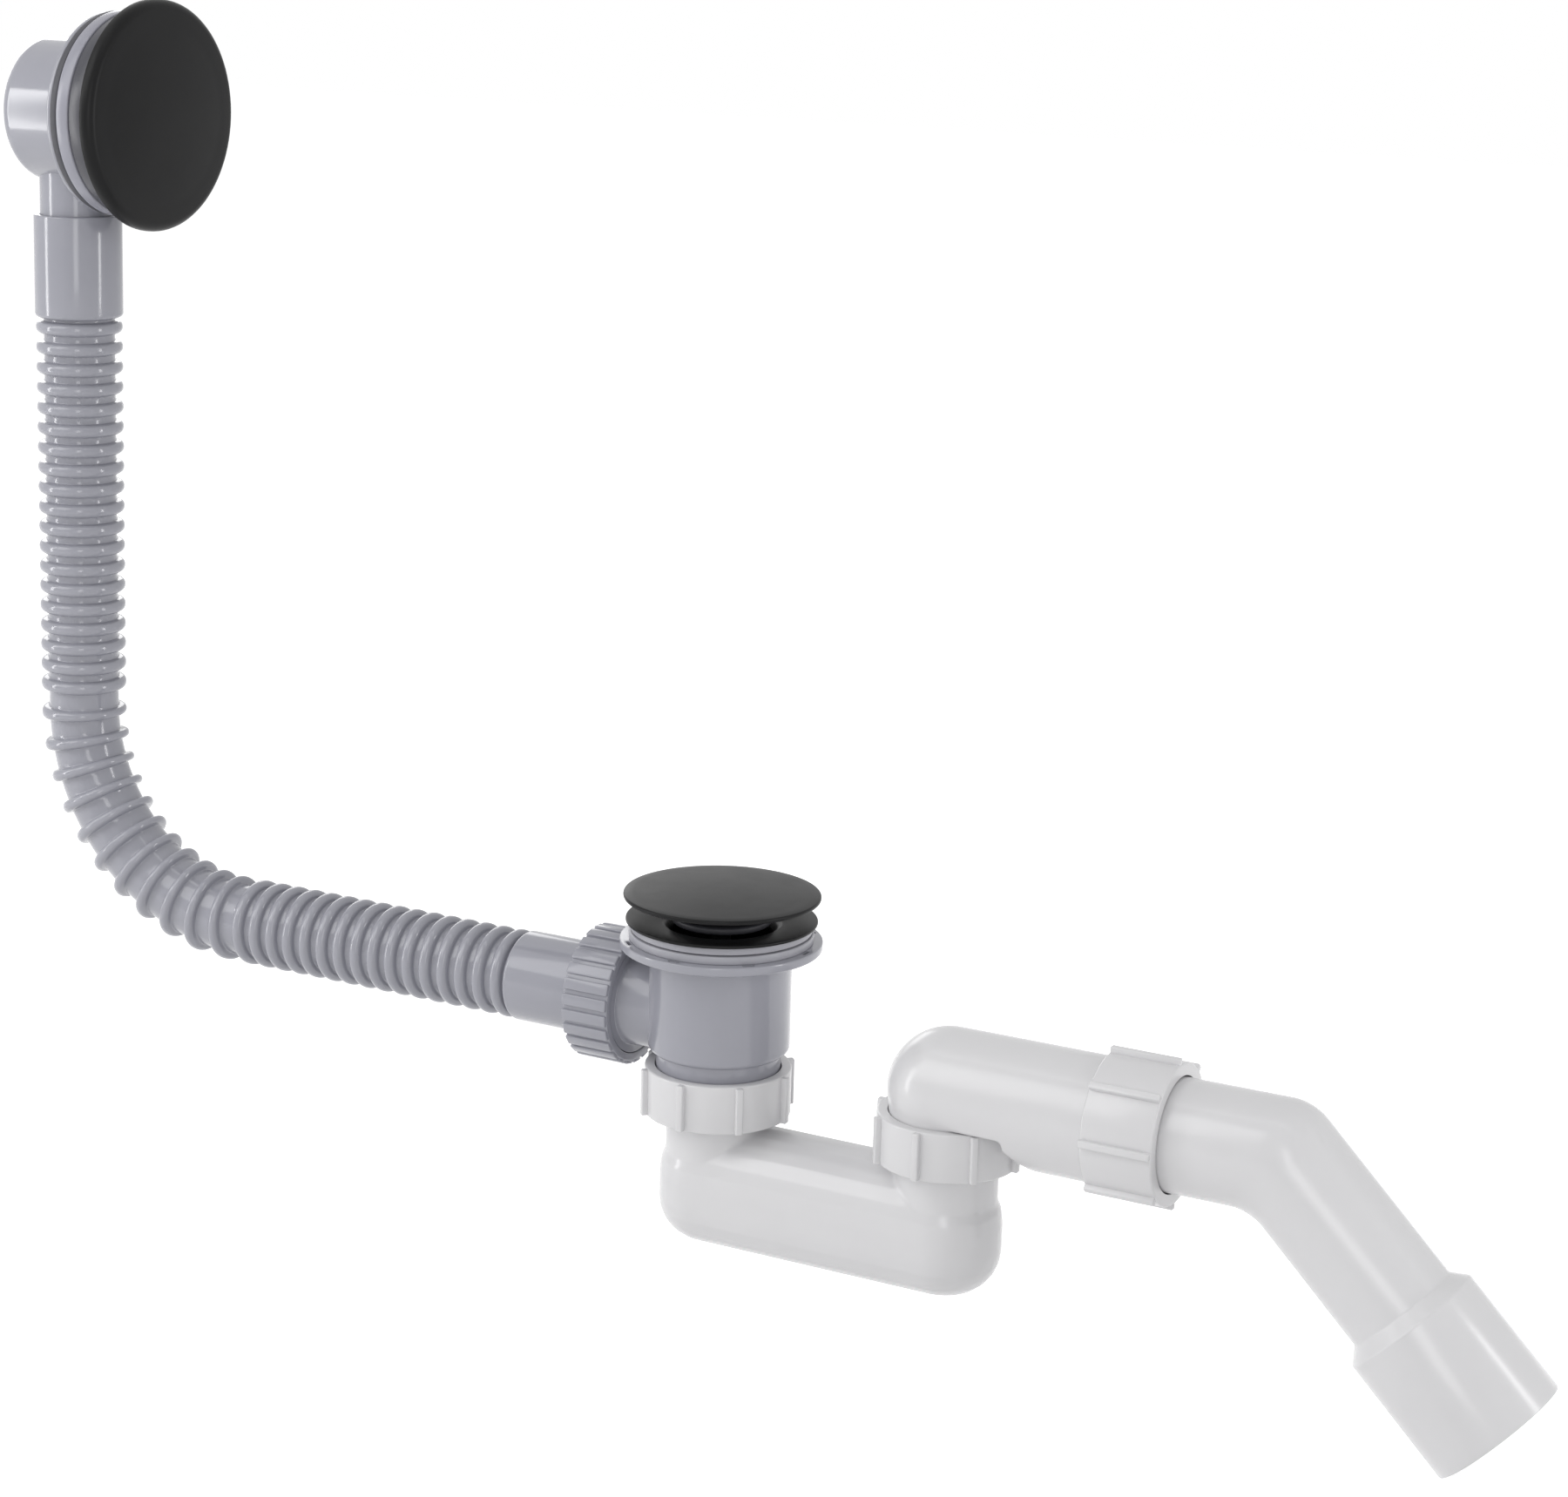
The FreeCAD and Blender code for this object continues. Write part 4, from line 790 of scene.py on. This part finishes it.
# %% [markdown]
# ## The white trap
#
# The trap is a flat-bottomed U. Its trough starts as a round box, turned with the roundings of its top and
# bottom, and one half of it is pulled away from the other along X. Necks are united with it and the hollow is cut
# out. The voxel remesh and a light smoothing then melt the corners where the necks meet the trough: on the real
# moulding there is no sharp line there, only a soft roll of light.

# %% Pull the trough, add the necks and melt the corners
TRAP_R, TRAP_WALL, TRAP_TOP, TRAP_LOW = 20.7, 2.6, -73.0, -118.0
TOP_ROUND, LOW_ROUND, TRAP_NECK_R, NECK_COLLAR_H = 19.0, 16.0, 18.7, 2.2
INLET_COLLAR_R, RISER_COLLAR_R = 23.0, 21.4
SKIN, TRAP_MELT = 0.8, 4  # millimetres of the remesh, and rounds of smoothing


def trough(name, inset):
    """A round box pulled out to the riser, its walls moved in by an inset."""
    radius = TRAP_R - inset
    obj = lathe(name, [(0, TRAP_LOW + inset), (radius, TRAP_LOW + inset, LOW_ROUND - inset),
                       (radius, TRAP_TOP - inset, TOP_ROUND - inset), (0, TRAP_TOP - inset)], closed=False)
    pick(obj)
    bpy.ops.object.mode_set(mode="EDIT")
    choose(obj, lambda x, y, z: x > -NEAR)
    bpy.ops.transform.translate(value=(riser_at.x * MM, 0, 0))
    bpy.ops.object.mode_set(mode="OBJECT")
    return obj


trap_high = span("trap_bend")[1]
neck_middle = TRAP_TOP - TRAP_R
trap = trough("moulded_trap", 0)
for neck_x, collar_r in ((0, INLET_COLLAR_R), (riser_at.x, RISER_COLLAR_R)):
    neck = lathe("neck", [(0, neck_middle), (TRAP_NECK_R, neck_middle),
                          (TRAP_NECK_R, trap_high.z - NECK_COLLAR_H), (collar_r, trap_high.z - NECK_COLLAR_H),
                          (collar_r, trap_high.z), (0, trap_high.z)], closed=False)
    combine(trap, "UNION", lay(neck, neck_x))
combine(trap, "DIFFERENCE", trough("hollow", TRAP_WALL))
for neck_x in (0, riser_at.x):
    neck_bore = lathe("neck_bore", [(0, neck_middle), (TRAP_NECK_R - TRAP_WALL, neck_middle),
                                    (TRAP_NECK_R - TRAP_WALL, trap_high.z + OVERCUT),
                                    (0, trap_high.z + OVERCUT)], closed=False)
    combine(trap, "DIFFERENCE", lay(neck_bore, neck_x))
soften(trap, SKIN, TRAP_MELT)
finish_piece(trap, "trap", "trap_bend")

# %% [markdown]
# ## The white elbow
#
# The elbow is a level tube that ends in a ball over the riser, with a leg down into the nut, and room cut out
# under it so that the nut can turn. It is made like the trap, from turned solids, and melted in the same way.

# %% Build the elbow
ELBOW_R, ELBOW_WALL, LEG_R, ELBOW_END, SOCKET_X = 22.3, 2.0, 21.4, 172.0, 134.0
UNDERCUT_X, LEVEL_Z, KNEE_Z, BACK_X = 122.5, -50.9, -54.8, 70.0
PIPE_R, PIPE_GAP, NECK_END, LEG_WAY_PAST, ELBOW_MELT = 20.1, 0.3, -61.0, 2, 7


def rod(name, radius, start, end, round_end=False):
    """A plain solid rod on its own axis, with a half ball at its lower end if it is wanted."""
    if round_end:
        ball = [(radius * math.sin(math.radians(turn)), start - radius * math.cos(math.radians(turn)))
                for turn in range(0, 91, 5)]
        return lathe(name, ball + [(radius, end), (0, end)], closed=False)
    return lathe(name, [(0, start), (radius, start), (radius, end), (0, end)], closed=False)


def prism(name, points, half_width):
    """A block with a drawn side view, as wide on both sides of the plane Y = 0."""
    obj = draw_line(name, points, closed=True)
    bpy.ops.mesh.edge_face_add()
    bpy.ops.transform.translate(value=(0, -half_width * MM, 0))
    bpy.ops.mesh.extrude_region_move(TRANSFORM_OT_translate={"value": (0, 2 * half_width * MM, 0)})
    close_up()
    bpy.ops.object.mode_set(mode="OBJECT")
    return obj


def nut_room(name, wall):
    """The room for the riser nut, moved in by a wall's thickness."""
    low = outlet_at.z - ELBOW_R - OVERCUT
    step_x, knee = UNDERCUT_X + wall, KNEE_Z + wall * (math.sqrt(2) - 1)
    return prism(name, [(BACK_X, low), (step_x + knee - low, low), (step_x, knee), (step_x, LEVEL_Z + wall),
                        (BACK_X, LEVEL_Z + wall)], ELBOW_R + OVERCUT)


elbow = lay(rod("moulded_elbow", ELBOW_R, 0, ELBOW_END - riser_at.x, round_end=True), riser_at.x, outlet_at.z,
            EAST)
combine(elbow, "DIFFERENCE", nut_room("nut_room", 0))
combine(elbow, "UNION", lay(rod("leg", LEG_R, NECK_END, outlet_at.z), riser_at.x))
way_r = ELBOW_R - 2 * ELBOW_WALL
way = lay(rod("way", way_r, 0, ELBOW_END - riser_at.x + OVERCUT, round_end=True), riser_at.x, outlet_at.z, EAST)
combine(way, "DIFFERENCE", nut_room("shelf", ELBOW_WALL))
leg_way = lay(rod("leg_way", TRAP_NECK_R - TRAP_WALL, NECK_END - OVERCUT, outlet_at.z + LEG_WAY_PAST), riser_at.x)
socket = lay(rod("socket", PIPE_R + PIPE_GAP, SOCKET_X, ELBOW_END + OVERCUT), 0, outlet_at.z, EAST)
combine(elbow, "DIFFERENCE", way, socket, leg_way)
soften(elbow, SKIN, ELBOW_MELT)
finish_piece(elbow, "elbow", "elbow")

# %% [markdown]
# ## The outlet pipe
#
# The pipe is bent through 45 degrees and widened at its end. Two straight turned tubes are each cut off on the
# slanted plane where they meet, as a plumber would mitre them, and merged there; bevelling the mitre then turns
# the crease into the tight smooth bend of the moulding.

# %% Mitre two tubes and round the joint
VERTEX_X, PIPE_START, PIPE_WALL = 218.0, 139.0, 2.0
SLANT_LONG, CONE_LONG, END_R, END_LONG, OVERLONG = 63.5, 5.0, 25.0, 45.6, 30.0
TURN, BEND_ROUND, BEND_STEPS = 45.0, 6.6, 8
vertex = Vector((VERTEX_X * MM, 0, outlet_at.z * MM))
mitre = Vector((math.cos(math.radians(TURN / 2)), 0, -math.sin(math.radians(TURN / 2))))
pipe_in = PIPE_R - PIPE_WALL
level_tube = lay(lathe("outlet_pipe", [(pipe_in, PIPE_START), (PIPE_R, PIPE_START, 0.4),
                                       (PIPE_R, VERTEX_X + OVERLONG), (pipe_in, VERTEX_X + OVERLONG)]),
                 0, outlet_at.z, EAST)
end_start = SLANT_LONG + CONE_LONG
slant_tube = lay(lathe("slant", [
    (pipe_in, -OVERLONG), (PIPE_R, -OVERLONG), (PIPE_R, SLANT_LONG, 0.5), (END_R, end_start, 0.5),
    (END_R, end_start + END_LONG, 0.5), (END_R - PIPE_WALL, end_start + END_LONG, 0.4),
    (END_R - PIPE_WALL, end_start), (pipe_in, SLANT_LONG)]), VERTEX_X, outlet_at.z, EAST + TURN)
for tube, outer_side in ((level_tube, True), (slant_tube, False)):
    pick(tube)
    bpy.ops.object.mode_set(mode="EDIT")
    bpy.ops.mesh.select_all(action="SELECT")
    bpy.ops.mesh.bisect(plane_co=vertex, plane_no=mitre, clear_outer=outer_side, clear_inner=not outer_side)
    bpy.ops.object.mode_set(mode="OBJECT")
outlet = join("outlet_pipe", level_tube, slant_tube)
bpy.ops.object.mode_set(mode="EDIT")
bpy.ops.mesh.select_all(action="SELECT")
bpy.ops.mesh.remove_doubles(threshold=PIPE_WELD)
choose(outlet, lambda x, y, z: abs((Vector((x, y, z)) * MM - vertex).dot(mitre)) < NEAR * MM, "EDGE")
bpy.ops.mesh.bevel(offset=BEND_ROUND * MM, segments=BEND_STEPS, affect="EDGES", clamp_overlap=False)
close_up()
smooth(outlet, degrees=30)
finish_piece(outlet, "outlet", "outlet_bend")

# %% [markdown]
# ## The overflow
#
# Behind the bath's wall there is a grey cup with a spigot for the hose; a dark gasket and a pale ring clamp the
# wall, and a carrier holds the black cover; the carrier's dark colour is painted shade and a painted reflection of
# the black cover. All of them are turned on one level axis. The cover's side rolls over into a shallow crown, which
# gives the thin highlight along its edge.

# %% Make the cup with its spigot
CUP_R, CUP_FRONT, CUP_ROUND, CUP_WALL = 27.6, 19.1, 5.0, 2.6
CUP_FLANGE_R, CUP_FLANGE_H = 38.6, 2.0
SPIGOT_R, SPIGOT_BORE, SPIGOT_LONG = 14.5, 12.1, 52.0
BOSS_OUT, BOSS_HOLE, BOSS_FRONT = 5.2, 2.5, 14.0
cup = lay(lathe("overflow_cup", [
    (0, CUP_BACK), (CUP_R, CUP_BACK, CUP_ROUND), (CUP_R, CUP_FRONT - CUP_FLANGE_H, CUP_ROUND),
    (CUP_FLANGE_R, CUP_FRONT - CUP_FLANGE_H, 0.6), (CUP_FLANGE_R, CUP_FRONT, 0.5), (0, CUP_FRONT)],
    closed=False), RISER_X, overflow_at.z, EAST)
combine(cup, "UNION", lay(rod("spigot", SPIGOT_R, -SPIGOT_LONG, 0), RISER_X, overflow_at.z))
cup_room = lathe("cup_room", [(0, CUP_BACK + CUP_WALL), (CUP_R - CUP_WALL, CUP_BACK + CUP_WALL, 3.7),
                              (CUP_R - CUP_WALL, CUP_FRONT + OVERCUT), (0, CUP_FRONT + OVERCUT)], closed=False)
lay(cup_room, RISER_X, overflow_at.z, EAST)
spigot_way = lay(rod("spigot_way", SPIGOT_BORE, -SPIGOT_LONG - OVERCUT, 0), RISER_X, overflow_at.z)
combine(cup, "DIFFERENCE", cup_room, spigot_way)
boss = lay(ring("boss", BOSS_OUT, BOSS_HOLE, CUP_BACK + CUP_WALL / 2, BOSS_FRONT, 0.3), RISER_X, overflow_at.z,
           EAST)
cup = join("overflow_cup", cup, boss)
smooth(cup)
finish_piece(cup, "waste", "overflow_body")


# %% Make the gasket, the front ring and the carrier
WEBS, WEB_W, WEB_IN_RIM, WEB_IN_HUB = 3, 7.0, 0.3, 1


def spider(name, rim, rim_inner, hub_r, hole_r, web_h):
    """A turned rim with three webs and a hub."""
    web = around(bar("web", -rim_inner - WEB_IN_RIM, WEB_IN_HUB - hub_r, -WEB_W / 2, WEB_W / 2, 0, web_h, 0.4), WEBS)
    return join(name, rim, web, ring("hub", hub_r, hole_r, 0, web_h))


RING_R, RING_HOLE, RING_H, CARRIER_H, CARRIER_WALL = 39.3, 24.0, 5.6, 8.2, 2.6
SPIDER_HUB_R, WEB_H, CARRIER_WEB_H, SCREW_HOLE, STUB_HOLE = 9.4, 3.0, 5.2, 2.8, 5.2
WALL_GASKET_R, WALL_GASKET_H = 39.0, 3.0
NOTCH_IN, NOTCH_OUT, NOTCH_HALF_W, NOTCH_DEEP = 34.1, 41, 12, 6
gasket_x, ring_x, carrier_x = (span(node)[0].x for node in ("wall_gasket", "front_ring", "cover_carrier"))
wall_gasket = lay(ring("wall_gasket_ring", WALL_GASKET_R, RING_HOLE, 0, WALL_GASKET_H, 0.7), gasket_x,
                  overflow_at.z, EAST)
finish_piece(wall_gasket, "waste", "wall_gasket")
front_ring = spider("clamp_ring", ring("rim", RING_R, RING_HOLE, 0, RING_H, 0.6), RING_HOLE, SPIDER_HUB_R,
                    SCREW_HOLE, WEB_H)
finish_piece(lay(front_ring, ring_x, overflow_at.z, EAST), "waste", "front_ring", finish=clamp_ring_finish)
carrier_rim = lathe("carrier_rim", [
    (RING_R - CARRIER_WALL, 0, 0.3), (RING_R - 0.4, 0, 0.6), (RING_R, CARRIER_H, 0.5),
    (RING_R - CARRIER_WALL, CARRIER_H, 0.4)])
combine(carrier_rim, "DIFFERENCE", bar("notch", NOTCH_IN, NOTCH_OUT, -NOTCH_HALF_W, NOTCH_HALF_W,
                                       CARRIER_H - NOTCH_DEEP, CARRIER_H + OVERCUT))
carrier = spider("cover_carrier_ring", carrier_rim, RING_R - CARRIER_WALL, SPIDER_HUB_R, STUB_HOLE,
                 CARRIER_WEB_H)
smooth(carrier)
# the carrier takes the dark blue-grey, which is painted shade and a painted reflection of the black cover
finish_piece(lay(carrier, carrier_x, overflow_at.z, EAST), "waste", "cover_carrier")

# %% Turn the cover
COVER_R, COVER_WALL, COVER_GAP, COVER_ROUND = 44.1, 1.8, 1.1, 3.6
COVER_ROOM_H, COVER_ROOM_IN, COVER_SIDE_H = 3.4, 5.2, 0.9  # the hollow's depth, how far in it starts, and its side
COVER_SHOULDER, COVER_CROWN, COVER_CROWN_IN = 5.5, 2.1, 5.0
COVER_HUB_R, STUB_R = 7.0, 4.9
cover = lathe("round_cover", [
    (0, WEB_H - COVER_GAP - CARRIER_H), (STUB_R, WEB_H - COVER_GAP - CARRIER_H, 0.3),
    (STUB_R, -COVER_GAP - WEB_H), (COVER_HUB_R, -COVER_GAP - WEB_H), (COVER_HUB_R, COVER_ROOM_H),
    (COVER_R - COVER_ROOM_IN, COVER_ROOM_H, 2.0), (COVER_R - COVER_WALL, COVER_SIDE_H),
    (COVER_R - COVER_WALL, 0, 0.4), (COVER_R, 0, 0.5), (COVER_R, COVER_SHOULDER, COVER_ROUND),
] + dome(COVER_R - COVER_CROWN_IN, COVER_SHOULDER, COVER_CROWN), closed=False)
finish_piece(lay(cover, carrier_x + CARRIER_H + COVER_GAP, overflow_at.z, EAST), "waste", "overflow_cover")

# %% [markdown]
# ## The spring of the click plug
#
# A small coil inside the cartridge pushes the plug up, and the stem squeezes it when the plug goes down. Nobody
# sees it. One round section of wire is drawn beside the axis and screwed up along it, half a turn at a time.

# %% Coil the spring
COIL_R, WIRE_R, HALF_TURNS, COIL_FOOT, PLUG_TRAVEL = 2.6, 0.35, 11, -29.0, 7.5
WIRE_AROUND, COIL_STEPS = 12, 14  # sides of the wire, and steps of half a turn
coil_low, coil_high = span("plug_spring")
clear_selection()
bpy.ops.mesh.primitive_circle_add(vertices=WIRE_AROUND, radius=WIRE_R * MM, rotation=(math.pi / 2, 0, 0),
                                  location=(COIL_R * MM, 0, (coil_low.z + WIRE_R) * MM))
coil = bpy.context.object
coil.name = coil.data.name = "click_spring"
bpy.ops.object.transform_apply(location=True, rotation=True)
winding = coil.modifiers.new("winding", "SCREW")
winding.angle = math.pi
winding.iterations = HALF_TURNS
winding.screw_offset = (coil_high.z - coil_low.z - 2 * WIRE_R) / HALF_TURNS * MM
winding.steps = winding.render_steps = COIL_STEPS
bpy.ops.object.modifier_apply(modifier=winding.name)
bpy.ops.object.mode_set(mode="EDIT")
bpy.ops.mesh.select_all(action="SELECT")
bpy.ops.mesh.fill_holes(sides=0)
close_up()
bpy.ops.object.mode_set(mode="OBJECT")
smooth(coil)
finish_piece(coil, "waste", "plug_spring")
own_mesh(coil)
